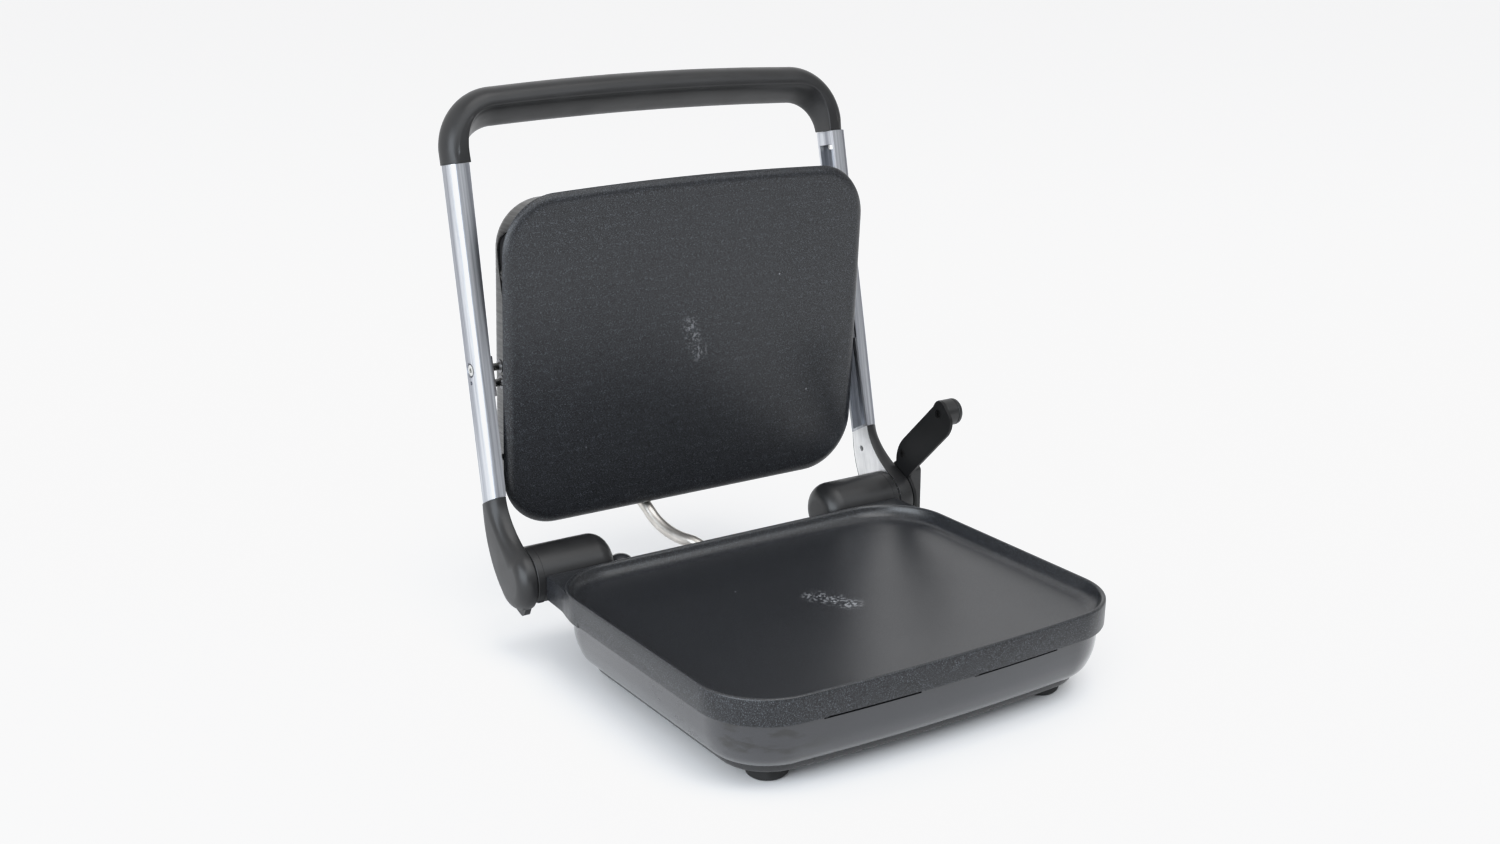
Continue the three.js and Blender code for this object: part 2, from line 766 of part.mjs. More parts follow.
function floatBracket() {
  // Slotted plate beside the arm: a round hole for the pivot, an arc slot for the stop pin.
  const plate = box(-164.8, -163.3, PIVOT_Y - 9, PIVOT_Y + 21, PIVOT_Z - 8.5, PIVOT_Z + 7);
  const hole = rodX(PIN_RADIUS + GAP, -166, -162, PIVOT_Y, PIVOT_Z, 16);
  const slot = [];
  for (let i = 0; i <= 4; i++) {
    const angle = THREE.MathUtils.degToRad(-18.2 * (i / 4));
    const y = PIVOT_Y + PIN_SPACING * Math.cos(angle);
    const z = PIVOT_Z + PIN_SPACING * Math.sin(angle);
    slot.push(rodX(PIN_RADIUS + 0.4, -166, -162, y, z, 16));
  }
  return cut(plate, hole, ...slot);
}

function clipRing(radius, x0, x1, y, z) {
  const ring = rodX(radius + 2.2, x0, x1, y, z, 16);
  const bore = rodX(radius + 0.15, x0 - 1, x1 + 1, y, z, 16);
  const mouth = box(x0 - 1, x1 + 1, y - 1.6, y + 1.6, z, z + radius + 4);
  return cut(ring, bore, mouth);
}

function pivotScrew() {
  const head = rodX(4.2, -178.2, -175.9, PIVOT_Y, PIVOT_Z, 16);
  const shank = rodX(2.5, -176, -171.7, PIVOT_Y, PIVOT_Z, 12);
  const socket = rodX(2, -179, -177, PIVOT_Y, PIVOT_Z, 6);
  return cut(joined(head, shank), socket);
}

function handleScrew() {
  const x = -169.5;
  const z = ARM_BOTTOM + 11.5;
  const head = rodY(4, -296.2, -292.6, x, z, 16);
  const shank = rodY(2, -318, -296, x, z, 12);
  const socket = rodY(1.8, -294.4, -291, x, z, 6);
  return cut(joined(head, shank), socket);
}

function armGroup() {
  const arms = new THREE.Group();
  arms.position.set(0, HINGE_Y, HINGE_Z);
  arms.rotation.x = THREE.MathUtils.degToRad(-ARM_OPEN_ANGLE);
  arms.add(mesh('handle', handle(), BLACK_PLASTIC));
  for (const [word, side] of SIDES) {
    const pin = rodX(PIN_RADIUS, -171, -143, PIVOT_Y, PIVOT_Z, 16);
    const clip = clipRing(PIN_RADIUS, -155, -153.6, PIVOT_Y, PIVOT_Z);
    arms.add(
      mesh(`arm_${word}`, forSide(side, armCasting()), POLISHED_ALUMINIUM),
      mesh(`arm_boot_${word}`, forSide(side, armBoot(side)), BLACK_PLASTIC),
      mesh(`pivot_pin_${word}`, forSide(side, pin), BRIGHT_STEEL),
      mesh(`pivot_screw_${word}`, forSide(side, pivotScrew()), BRIGHT_STEEL),
      mesh(`pivot_clip_${word}`, forSide(side, clip), SPRING_STEEL),
      mesh(`float_bracket_${word}`, forSide(side, floatBracket()), SPRING_STEEL),
      mesh(`handle_screw_${word}`, forSide(side, handleScrew()), BRIGHT_STEEL),
    );
  }
  return arms;
}

// ---------------------------------------------------------------- lid

function upperPlate() {
  return planLoft(UPPER_PLAN, [
    [0, 5.2],
    [0.7, 2.4],
    [2.2, 0.5],
    [3.8, 0],
    [5, 1.2],
    [5.2, 15],
    [8.2, 17],
  ]);
}

function sideScoop() {
  // Where the steel cover's sides stop short, so that the black housing shows.
  return extrudedX(
    polygon([
      [54, 5],
      [-20, 20.2],
      [-53, 26],
      [-77, 30],
      [-92, 31.2],
      [-101, 29],
      [-108, 22],
      [-113, 12],
      [-116, 4],
      [54, 4],
    ]),
    -170,
    170,
  );
}

function lidPinBores() {
  return [rodX(PIN_RADIUS + GAP, -165, 165, LID_PIVOT_Y, LID_PIVOT_Z, 16), rodX(PIN_RADIUS + GAP, -165, 165, STOP_PIN_Y, STOP_PIN_Z, 16)];
}

function lidCover() {
  const outside = planLoft(COVER_PLAN, [
    [5.8, 0],
    [34, 0],
    [38.5, 1.2],
    [41.6, 4],
    [COVER_TOP, 9],
  ]);
  const inside = planLoft(COVER_PLAN, [
    [4, 1.4],
    [33.6, 1.4],
    [37.6, 2.6],
    [40.2, 5.2],
    [COVER_TOP - 1.4, 10],
  ]);
  const socketHole = rodY(9, 100, 130, CONDUIT_EXIT.x, CONDUIT_EXIT.z, 20);
  const sideHole = rodX(2.6, -170, -140, 78, 26, 12);
  return cut(outside, inside, sideScoop(), ...lidPinBores(), socketHole, sideHole);
}

const CONDUIT_EXIT = { x: -35.4, z: 25.5 };

function lidHousing() {
  // Black inner casing: a walled frame with a web that carries the plate.
  const outside = planLoft(COVER_PLAN, [
    [5.8, 1.9],
    [33, 1.9],
  ]);
  const below = planLoft(COVER_PLAN, [
    [4, 4.4],
    [15.5, 4.4],
  ]);
  const above = planLoft(COVER_PLAN, [
    [18, 4.4],
    [35, 4.4],
  ]);
  const passage = box(-24, 24, 60, 100, 12, 20);
  const socketHole = rodY(9, 100, 130, CONDUIT_EXIT.x, CONDUIT_EXIT.z, 20);
  const screwWells = SIDES.map(([, side]) => rodX(2.4, side * 140, side * 152, -65.6, 24, 12));
  return cut(outside, below, above, passage, socketHole, ...lidPinBores(), ...screwWells);
}

function lidSocket() {
  const { x, z } = CONDUIT_EXIT;
  const ring = rodY(8.6, 117, 122.5, x, z, 20);
  return cut(ring, rodY(CONDUIT_RADIUS + 2.2, 112, 124, x, z, 20));
}

function lidScrew() {
  const head = rodX(3.8, -150.6, -148.8, -65.6, 24, 14);
  const shank = rodX(2, -149, -143, -65.6, 24, 10);
  const slot = box(-152, -149.9, -66.1, -65.1, 20, 28);
  return cut(joined(head, shank), slot);
}

function lidGroup() {
  const lid = new THREE.Group();
  lid.position.set(0, LID_FACE_Y, LID_FACE_Z);
  lid.rotation.x = THREE.MathUtils.degToRad(-LID_OPEN_ANGLE);
  lid.add(
    mesh('upper_plate', upperPlate(), NONSTICK),
    mesh('lid_housing', lidHousing(), BLACK_PLASTIC),
    mesh('lid_cover', lidCover(), BRUSHED_STEEL),
    mesh('upper_element', tubeAlong(elementLoop(104, -80, 70, 11.8, 12), 3.2, 44, 4), ELEMENT_STEEL),
    mesh('upper_fuse', rodZ(8, 8.2 + GAP, 15.2, 0, -4, 16), BRIGHT_STEEL),
    mesh('conduit_socket_lid', lidSocket(), BRIGHT_STEEL),
  );
  for (const [word, side] of SIDES) {
    const pin = rodX(PIN_RADIUS, -166, -143, STOP_PIN_Y, STOP_PIN_Z, 16);
    const clip = clipRing(PIN_RADIUS, -155, -153.6, STOP_PIN_Y, STOP_PIN_Z);
    lid.add(
      mesh(`stop_pin_${word}`, forSide(side, pin), BRIGHT_STEEL),
      mesh(`stop_clip_${word}`, forSide(side, clip), SPRING_STEEL),
      mesh(`lid_screw_${word}`, forSide(side, lidScrew()), BRIGHT_STEEL),
    );
  }
  return lid;
}

// ---------------------------------------------------------------- height lever

function paddleFrame() {
  // Maps [along the paddle, across it] to the YZ plane at the hinge axis.
  const angle = THREE.MathUtils.degToRad(LEVER_ANGLE);
  const along = new THREE.Vector3(0, Math.cos(angle), Math.sin(angle));
  const across = new THREE.Vector3(0, Math.sin(angle), -Math.cos(angle));
  return new THREE.Matrix4().makeBasis(along, across, new THREE.Vector3(-1, 0, 0));
}

function leverGroup() {
  const lever = new THREE.Group();
  lever.position.set(LEVER_INNER_X + LEVER_THICKNESS, HINGE_Y, HINGE_Z);
  lever.setRotationFromMatrix(paddleFrame());
  // Inside this group X runs along the paddle, Y across it and -Z outboard.
  const shape = new THREE.Shape();
  shape.moveTo(6, 5.6);
  shape.lineTo(90, 5.6);
  shape.quadraticCurveTo(101, 7, 104.2, 17);
  shape.lineTo(104.2, 27.5);
  shape.quadraticCurveTo(103.5, 32.9, 98, 32.9);
  shape.lineTo(40, 32.9);
  shape.quadraticCurveTo(23, 31.5, 13.6, 18);
  const paddle = extrudedZ(shape, 0, LEVER_THICKNESS);
  const hub = rodZ(22.5, 0, LEVER_THICKNESS, 0, 0, 32);
  const shaftBore = rodZ(SHAFT_RADIUS + GAP, -2, LEVER_THICKNESS + 2, 0, 0, 20);
  const screws = [
    ['lever_screw_knob', ...KNOB_PLACE],
    ['lever_screw_hub', ...HUB_SCREW_PLACE],
  ];
  const wells = screws.map(([, x, y]) => rodZ(3.4, 0.9, LEVER_THICKNESS + 2, x, y, 14));
  lever.add(mesh('lever_arm', cut(joined(paddle, hub), shaftBore, ...wells), BLACK_PLASTIC));
  for (const [name, x, y] of screws) {
    const head = rodZ(3, 0.9 + GAP, 2.4, x, y, 14);
    const socket = rodZ(1.5, 1.8, 4, x, y, 6);
    lever.add(mesh(name, cut(head, socket), BRIGHT_STEEL));
  }
  const knob = rodZ(KNOB_RADIUS, -11, -GAP, ...KNOB_PLACE, 24);
  const cap = turnedZ(
    [
      [0, -11 - GAP],
      [KNOB_RADIUS, -11 - GAP],
      [KNOB_RADIUS, -13.5],
      [KNOB_RADIUS - 1, -15],
      [KNOB_RADIUS - 3.5, -16],
      [0, -16.4],
    ],
    ...KNOB_PLACE,
  );
  lever.add(mesh('lever_knob', knob, BLACK_PLASTIC), mesh('lever_knob_cap', cap, BLACK_PLASTIC));
  return lever;
}

// ---------------------------------------------------------------- whole press

const press = new THREE.Group();
press.add(...baseMeshes(), armGroup(), lidGroup(), leverGroup());
press.add(mesh('conduit_lower', conduitRun(0, CONDUIT_SPLIT - 0.003), CONDUIT_STEEL));
press.add(mesh('conduit_upper', conduitRun(CONDUIT_SPLIT + 0.003, 0.99), CONDUIT_STEEL));

// The part's frame stands on the table, under the middle of the open press.
const middle = new THREE.Box3().setFromObject(press, true).getCenter(new THREE.Vector3());
press.position.set(-middle.x, -middle.y, 0);

export default press;
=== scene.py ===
"""Looks of the open panini press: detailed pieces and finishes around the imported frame.

Pieces are drawn in millimetres in the press's own frame, from the table below the middle of the lower
plate, or in that of a moving body, and brought to metres at their place in the part. +X is to the right
(lever side), +Y to the hinge side, +Z up.
"""

import json
import math

import bmesh
import bpy
from mathutils import Matrix, Vector


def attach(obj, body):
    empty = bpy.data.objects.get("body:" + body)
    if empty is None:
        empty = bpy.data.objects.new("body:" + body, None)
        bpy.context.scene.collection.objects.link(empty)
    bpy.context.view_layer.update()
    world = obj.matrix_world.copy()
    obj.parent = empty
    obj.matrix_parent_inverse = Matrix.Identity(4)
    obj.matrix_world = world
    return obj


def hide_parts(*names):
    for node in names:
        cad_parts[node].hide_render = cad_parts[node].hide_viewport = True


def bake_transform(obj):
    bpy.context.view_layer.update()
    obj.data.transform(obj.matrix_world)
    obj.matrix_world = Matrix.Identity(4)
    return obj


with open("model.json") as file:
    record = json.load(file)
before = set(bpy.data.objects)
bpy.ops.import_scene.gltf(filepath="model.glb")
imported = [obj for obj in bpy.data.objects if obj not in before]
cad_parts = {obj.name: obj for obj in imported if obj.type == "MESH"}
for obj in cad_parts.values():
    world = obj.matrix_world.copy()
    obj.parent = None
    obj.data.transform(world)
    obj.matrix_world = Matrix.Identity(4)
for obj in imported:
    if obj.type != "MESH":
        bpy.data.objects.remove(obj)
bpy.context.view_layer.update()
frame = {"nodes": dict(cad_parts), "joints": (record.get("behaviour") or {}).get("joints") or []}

MM = 0.001
JOINTS = {joint["name"]: joint for joint in frame["joints"]}
HINGE = Vector((0, 160, 64.2))
PRESS = Matrix.Translation(Vector(JOINTS["lid_hinge"]["pos_m"]) / MM - HINGE)

# How each moving body stands at rest
ARM_TILT = -101.51
LID_TILT = -85.98
LID_ORIGIN = (0, 193.06, 214.2)
LEVER_TILT = 135.8
ARMS = PRESS @ Matrix.Translation(HINGE) @ Matrix.Rotation(math.radians(ARM_TILT), 4, "X")
LID = PRESS @ Matrix.Translation(LID_ORIGIN) @ Matrix.Rotation(math.radians(LID_TILT), 4, "X")
LEVER = PRESS @ Matrix.Translation(HINGE) @ Matrix.Rotation(math.radians(LEVER_TILT), 4, "X")

SIDES = (("left", -1), ("right", 1))

# Holes and tubes that several pieces share
SHAFT_HOLE = 5.3
PIN_HOLE = 3.3
SCREW_HOLE = 2.4
WALL = 2.6
CONDUIT_RADIUS = 5

# The camera, in the press's own frame: place in millimetres, lens in millimetres, direction in degrees
CAMERA_AT = (-713.07, -984.62, 561.24)
CAMERA_LENS = 43.58
CAMERA_AZIMUTH = -33.081
CAMERA_ELEVATION = 16.662


# ---------------------------------------------------------------- sizes read from the frame


def extent(node, place=PRESS):
    """Lowest and highest corners of a CAD node, in millimetres, in the frame given by place."""
    back = place.inverted()
    points = [back @ (vertex.co / MM) for vertex in frame["nodes"][node].data.vertices]
    low = Vector([min(point[axis] for point in points) for axis in range(3)])
    high = Vector([max(point[axis] for point in points) for axis in range(3)])
    return low, high


def middle(node, place=PRESS):
    low, high = extent(node, place)
    return (low + high) / 2


# ---------------------------------------------------------------- solids in mesh code


def raw(vertices, faces):
    mesh = bpy.data.meshes.new("solid")
    mesh.from_pydata([tuple(vertex) for vertex in vertices], [], faces)
    work = bmesh.new()
    work.from_mesh(mesh)
    bmesh.ops.recalc_face_normals(work, faces=work.faces)
    work.to_mesh(mesh)
    work.free()
    made = bpy.data.objects.new("solid", mesh)
    bpy.context.scene.collection.objects.link(made)
    return made


def loft(rings):
    """Skin through rings of equal length, closed by a flat face at each end."""
    count = len(rings[0])
    faces = []
    for r in range(len(rings) - 1):
        here = r * count
        there = here + count
        for i in range(count):
            j = (i + 1) % count
            faces.append((here + i, here + j, there + j, there + i))
    faces.append(tuple(reversed(range(count))))
    faces.append(tuple(range((len(rings) - 1) * count, len(rings) * count)))
    return raw([point for ring in rings for point in ring], faces)


def turned(profile, axis, centre, steps=64):
    """Profile of (radius, along) pairs turned round an axis through centre."""
    u, v = [i for i in range(3) if i != axis]
    rings = []
    for radius, along in profile:
        ring = []
        for i in range(steps):
            angle = 2 * math.pi * i / steps
            point = [0.0, 0.0, 0.0]
            point[axis] = along
            point[u] = centre[0] + radius * math.cos(angle)
            point[v] = centre[1] + radius * math.sin(angle)
            ring.append(point)
        rings.append(ring)
    return loft(rings)


def rod(radius, start, end, axis, centre, steps=48):
    return turned([(radius, start), (radius, end)], axis, centre, steps)


def block(low, high):
    x, y, z = zip(low, high)
    floor = [(x[0], y[0]), (x[1], y[0]), (x[1], y[1]), (x[0], y[1])]
    return loft([[(a, b, level) for a, b in floor] for level in z])


def slab(outline, start, end, axis=0):
    """Outline in the two other axes, given thickness along one."""
    rings = []
    for along in (start, end):
        ring = []
        for first, second in outline:
            point = [first, second]
            point.insert(axis, along)
            ring.append(point)
        rings.append(ring)
    return loft(rings)


def tube(path, radius, steps=24):
    """Round tube along a path in a plane close to YZ."""
    rings = []
    for i, point in enumerate(path):
        along = (Vector(path[min(i + 1, len(path) - 1)]) - Vector(path[max(i - 1, 0)])).normalized()
        side = along.cross(Vector((1, 0, 0))).normalized()
        other = along.cross(side)
        ring = []
        for k in range(steps):
            angle = 2 * math.pi * k / steps
            ring.append(Vector(point) + radius * (math.cos(angle) * side + math.sin(angle) * other))
        rings.append(ring)
    return loft(rings)


def combine(made, kind, *tools):
    """Joins tools to a solid (UNION), or cuts them away from it (DIFFERENCE)."""
    for tool in tools:
        modifier = made.modifiers.new("combine", "BOOLEAN")
        modifier.operation = kind
        modifier.solver = "EXACT"
        modifier.object = tool
        bpy.context.view_layer.update()
        seen = made.evaluated_get(bpy.context.evaluated_depsgraph_get())
        result = bpy.data.meshes.new_from_object(seen)
        made.modifiers.clear()
        made.data = result
        bpy.data.objects.remove(tool)
    return made


def join(made, *tools):
    return combine(made, "UNION", *tools)


def cut(made, *tools):
    return combine(made, "DIFFERENCE", *tools)


def mirrored(made, side):
    """Solids are drawn for the left; the right one is its mirror image."""
    if side > 0:
        made.data.transform(Matrix.Scale(-1, 4, (1, 0, 0)))
        made.data.flip_normals()
    return made


def placed(made, name, body, finish, nodes, place=PRESS, bevel=0.0, sharp=35):
    """Names a solid, brings it to metres at its place and lets it stand for its CAD nodes.

    A solid that is shared between two bodies has no body here.
    """
    made.name = name
    made.data.name = name
    made.data.transform(Matrix.Scale(MM, 4) @ place)
    made.data.materials.clear()
    made.data.materials.append(finish)
    made.data.shade_smooth()
    made.data.set_sharp_from_angle(angle=math.radians(sharp))
    if bevel:
        rounding = made.modifiers.new("edge", "BEVEL")
        rounding.width = bevel * MM
        rounding.segments = 2
        rounding.limit_method = "ANGLE"
        rounding.angle_limit = math.radians(40)
        rounding.harden_normals = True
    if body:
        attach(made, body)
    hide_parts(*nodes)
    return made


# ---------------------------------------------------------------- curves


def smooth_path(points, per, closed=False):
    """Centripetal curve through points, with per steps between each two."""
    points = [Vector(point) for point in points]
    count = len(points)
    spans = count if closed else count - 1
    result = []
    for i in range(spans):
        if closed:
            run = [points[(i + k - 1) % count] for k in range(4)]
        else:
            before = points[i - 1] if i else 2 * points[0] - points[1]
            after = points[i + 2] if i + 2 < count else 2 * points[-1] - points[-2]
            run = [before, points[i], points[i + 1], after]
        knots = [0.0]
        for k in range(3):
            knots.append(knots[-1] + max((run[k + 1] - run[k]).length, 1e-6) ** 0.5)
        for step in range(per):
            at = knots[1] + (knots[2] - knots[1]) * step / per
            level = run
            for width in range(1, 4):
                level = [
                    level[k] + (level[k + 1] - level[k]) * blend_share(at, knots, k, width)
                    for k in range(4 - width)
                ]
            result.append(level[0])
    if not closed:
        result.append(points[-1])
    return result


def blend_share(at, knots, k, width):
    """Share of the second of two neighbours at one level of the curve's construction."""
    if width == 3:
        return (at - knots[1]) / (knots[2] - knots[1])
    return (at - knots[k]) / (knots[k + width] - knots[k])


def bezier(start, first, second, end, steps):
    points = [Vector(point) for point in (start, first, second, end)]
    result = []
    for i in range(steps + 1):
        t = i / steps
        weights = ((1 - t) ** 3, 3 * t * (1 - t) ** 2, 3 * t * t * (1 - t), t**3)
        result.append(sum((w * p for w, p in zip(weights, points)), Vector((0, 0))))
    return result


def arc(radius, start, end, steps):
    result = []
    for i in range(steps + 1):
        angle = math.radians(start + (end - start) * i / steps)
        result.append(Vector((radius * math.cos(angle), radius * math.sin(angle))))
    return result


def plan_ring(plan, inset, z, corner_steps=18, edge_steps=20):
    """Rounded rectangle whose -Y edge bows outwards; plan is (half x, half y, corner radius, bow)."""
    half_x, half_y, radius, bow = plan
    half_x -= inset
    half_y -= inset
    radius = max(radius - 0.85 * inset, 6)
    reach = half_x - radius
    ring = []
    corners = (
        (reach, radius - half_y, -90),
        (reach, half_y - radius, 0),
        (-reach, half_y - radius, 90),
        (-reach, radius - half_y, 180),
    )
    for x, y, start in corners:
        for turn in arc(radius, start, start + 90, corner_steps):
            ring.append((x + turn.x, y + turn.y, z))
    for i in range(1, edge_steps):
        x = -reach + 2 * reach * i / edge_steps
        ring.append((x, -half_y - bow * (1 - (x / reach) ** 2), z))
    return ring


def plan_loft(plan, levels):
    """Body between plan outlines; each level is (height, inset from the outline)."""
    return loft([plan_ring(plan, inset, z) for z, inset in levels])


# ---------------------------------------------------------------- finishes


class Finish:
    """A procedural material: one Principled shader and the nodes that feed it."""

    def __init__(self, name, roughness, metallic=0.0, specular=0.5):
        self.material = bpy.data.materials.new(name)
        self.material.use_nodes = True
        self.tree = self.material.node_tree
        self.shader = self.tree.nodes["Principled BSDF"]
        self.shader.inputs["Roughness"].default_value = roughness
        self.shader.inputs["Metallic"].default_value = metallic
        self.shader.inputs["Specular IOR Level"].default_value = specular
        self.place = self.tree.nodes.new("ShaderNodeTexCoord").outputs["Object"]

    def node(self, kind, **inputs):
        made = self.tree.nodes.new(kind)
        for name, value in inputs.items():
            socket = made.inputs[name.replace("_", " ")]
            if isinstance(value, bpy.types.NodeSocket):
                self.tree.links.new(value, socket)
            else:
                socket.default_value = value
        return made

    def stretched(self, scale, turn=(0, 0, 0)):
        """Coordinates turned into a body's own frame and scaled along each of its axes."""
        mapping = self.tree.nodes.new("ShaderNodeMapping")
        mapping.vector_type = "TEXTURE"
        self.tree.links.new(self.place, mapping.inputs["Vector"])
        mapping.inputs["Rotation"].default_value = turn
        mapping.inputs["Scale"].default_value = [1 / value for value in scale]
        return mapping.outputs["Vector"]

    def noise(self, scale, detail=2.0, place=None, roughness=0.5):
        made = self.node(
            "ShaderNodeTexNoise", Vector=place or self.place, Scale=scale, Detail=detail, Roughness=roughness
        )
        return made.outputs["Fac"]

    def spots(self, scale, size):
        """Small round spots, one in each cell of a field."""
        cells = self.node("ShaderNodeTexVoronoi", Vector=self.place, Scale=scale)
        return self.spread(cells.outputs["Distance"], 0.0, size, 1.0, 0.0)

    def spread(self, value, low, high, out_low=0.0, out_high=1.0):
        made = self.node("ShaderNodeMapRange", Value=value)
        limits = (("From Min", low), ("From Max", high), ("To Min", out_low), ("To Max", out_high))
        for name, number in limits:
            made.inputs[name].default_value = number
        return made.outputs["Result"]

    def near(self, point, radius):
        """1 at a point of the press given in millimetres, falling to 0 at the radius."""
        away = self.tree.nodes.new("ShaderNodeVectorMath")
        away.operation = "DISTANCE"
        self.tree.links.new(self.place, away.inputs[0])
        away.inputs[1].default_value = (PRESS @ Vector(point)) * MM
        return self.spread(away.outputs["Value"], 0.0, radius * MM, 1.0, 0.0)

    def worked(self, operation, first, second):
        made = self.tree.nodes.new("ShaderNodeMath")
        made.operation = operation
        for socket, value in zip(made.inputs, (first, second)):
            if isinstance(value, bpy.types.NodeSocket):
                self.tree.links.new(value, socket)
            else:
                socket.default_value = value
        return made.outputs["Value"]

    def ramp(self, value, *stops):
        made = self.node("ShaderNodeValToRGB", Fac=value)
        elements = made.color_ramp.elements
        elements[0].position, elements[0].color = stops[0][0], (*stops[0][1], 1)
        elements[1].position, elements[1].color = stops[-1][0], (*stops[-1][1], 1)
        for position, color in stops[1:-1]:
            elements.new(position).color = (*color, 1)
        return made.outputs["Color"]

    def mixed(self, share, first, second):
        made = self.tree.nodes.new("ShaderNodeMix")
        made.data_type = "RGBA"
        self.tree.links.new(share, made.inputs["Factor"])
        for socket, value in ((made.inputs[6], first), (made.inputs[7], second)):
            if isinstance(value, bpy.types.NodeSocket):
                self.tree.links.new(value, socket)
            else:
                socket.default_value = (*value, 1)
        return made.outputs[2]

    def color(self, socket):
        self.tree.links.new(socket, self.shader.inputs["Base Color"])

    def rough(self, socket):
        self.tree.links.new(socket, self.shader.inputs["Roughness"])

    def bump(self, height, depth, strength=1.0):
        made = self.node("ShaderNodeBump", Height=height, Strength=strength)
        made.inputs["Distance"].default_value = depth * MM
        previous = self.shader.inputs["Normal"].links
        if previous:
            self.tree.links.new(previous[0].from_socket, made.inputs["Normal"])
        self.tree.links.new(made.outputs["Normal"], self.shader.inputs["Normal"])


def nonstick(name, specular, grain_scale, scuffs, reach, wear):
    """Charcoal non-stick coating: blue-grey grains, a few light specks and a scuffed middle."""
    finish = Finish(name, 0.3, specular=specular)
    grain = finish.noise(grain_scale, 2.0, roughness=0.7)
    coating = finish.ramp(
        grain,
        (0.42, (0.005, 0.005, 0.006)),
        (0.54, (0.01, 0.0105, 0.012)),
        (0.7, (0.11, 0.121, 0.138)),
    )
    worn = finish.spread(finish.noise(420, 3.0, roughness=0.6), 0.52, 0.6, 0.0, wear)
    patch = finish.near(scuffs[0], reach)
    for scuff in scuffs[1:]:
        patch = finish.worked("MAXIMUM", patch, finish.near(scuff, reach))
    scuffed = finish.worked("MULTIPLY", worn, patch)
    specks = finish.spots(30, 0.03)
    used = finish.mixed(scuffed, coating, (0.38, 0.39, 0.41))
    finish.color(finish.mixed(specks, used, (0.3, 0.31, 0.33)))
    finish.rough(finish.spread(finish.noise(9, 3.0), 0.3, 0.7, 0.28, 0.34))
    finish.bump(grain, 0.05, 0.6)
    return finish.material


def shell_plastic():
    """Dark grey moulding, nearly glossy, with greasy smudges at the front left corner."""
    finish = Finish("shell_plastic", 0.2, specular=0.5)
    finish.shader.inputs["Coat Weight"].default_value = 0.6
    finish.shader.inputs["Coat Roughness"].default_value = 0.12
    cloud = finish.noise(14, 5.0, roughness=0.6)
    plain = finish.ramp(cloud, (0.3, (0.018, 0.0185, 0.022)), (0.7, (0.024, 0.025, 0.029)))
    smear = finish.spread(finish.noise(38, 6.0, finish.stretched((0.6, 1, 2.2)), 0.65), 0.54, 0.6)
    corner = finish.spread(finish.near((-140, -118, 38), 48), 0.0, 0.5)
    side = finish.spread(finish.near((-158, -40, 40), 60), 0.0, 0.6)
    finish.color(finish.mixed(finish.worked("MULTIPLY", smear, corner), plain, (0.006, 0.006, 0.006)))
    finish.rough(finish.spread(finish.worked("MULTIPLY", smear, side), 0.0, 1.0, 0.2, 0.3))
    finish.bump(finish.noise(120, 1.0), 0.004, 0.3)
    return finish.material


def black_plastic(name, tone, roughness, specular):
    """Black moulding with a fine spark-eroded texture."""
    finish = Finish(name, roughness, specular=specular)
    cloud = finish.noise(30, 4.0)
    low = (tone * 0.85, tone * 0.85, tone * 0.88)
    high = (tone * 1.25, tone * 1.25, tone * 1.3)
    finish.color(finish.ramp(cloud, (0.3, low), (0.7, high)))
    finish.rough(finish.spread(finish.noise(60, 4.0), 0.3, 0.7, roughness - 0.05, roughness + 0.06))
    finish.bump(finish.noise(1800, 2.0), 0.015, 0.4)
    return finish.material


def rubber():
    finish = Finish("rubber", 0.75, specular=0.3)
    cloud = finish.noise(120, 3.0)
    finish.color(finish.ramp(cloud, (0.3, (0.012, 0.012, 0.012)), (0.7, (0.022, 0.022, 0.022))))
    finish.bump(finish.noise(900, 2.0), 0.05, 0.5)
    return finish.material


def metal(name, dark, light, rough, stretch, turn=(0, 0, 0), grain=0.02):
    """Metal with streaks along its polishing or rolling direction."""
    finish = Finish(name, rough[0], metallic=1.0)
    along = finish.stretched(stretch, turn)
    streak = finish.noise(1.0, 5.0, along, 0.6)
    finish.color(finish.ramp(streak, (0.38, dark), (0.62, light)))
    finish.rough(finish.spread(finish.noise(0.6, 4.0, along), 0.3, 0.7, rough[0], rough[1]))
    finish.bump(streak, grain, 0.5)
    return finish.material


ALONG_ARM = (math.radians(ARM_TILT), 0, 0)
COOKING_FLOOR = extent("lower_plate")[1].z - 10
LOWER_SCUFFS = [(x, y, COOKING_FLOOR) for x, y in ((-5, 14), (2, 3), (7, -9))]
UPPER_SCUFFS = [(x, LID_ORIGIN[1], LID_ORIGIN[2] + up) for x, up in ((-2, 14), (1, 4), (6, -8))]
NONSTICK_LOWER = nonstick("nonstick_lower", 0.6, 1900, LOWER_SCUFFS, 13, 1.0)
NONSTICK_UPPER = nonstick("nonstick_upper", 0.42, 1900, UPPER_SCUFFS, 10, 0.45)
NONSTICK_SKIRT = nonstick("nonstick_skirt", 0.36, 1600, [(-155, -60, 58)], 6, 0.5)
SHELL = shell_plastic()
BLACK = black_plastic("black_plastic", 0.0125, 0.36, 0.45)
TRAY = black_plastic("tray_plastic", 0.022, 0.3, 0.5)
# Paddle plastic, darker than the other black mouldings: partly its own matte tone, partly painted shade that
# holds it down against the light from the left
LEVER_BLACK_AND_SHADE = black_plastic("lever_plastic_and_shade", 0.008, 0.45, 0.22)
RUBBER = rubber()
ALUMINIUM = metal(
    "polished_aluminium",
    (0.28, 0.29, 0.32),
    (0.58, 0.595, 0.625),
    (0.34, 0.44),
    (300, 4, 170), ALONG_ARM, 0.04,
)
LUG_METAL = metal(
    "lug_aluminium",
    (0.68, 0.68, 0.68),
    (0.86, 0.86, 0.86),
    (0.38, 0.55),
    (130, 22, 90), ALONG_ARM,
)
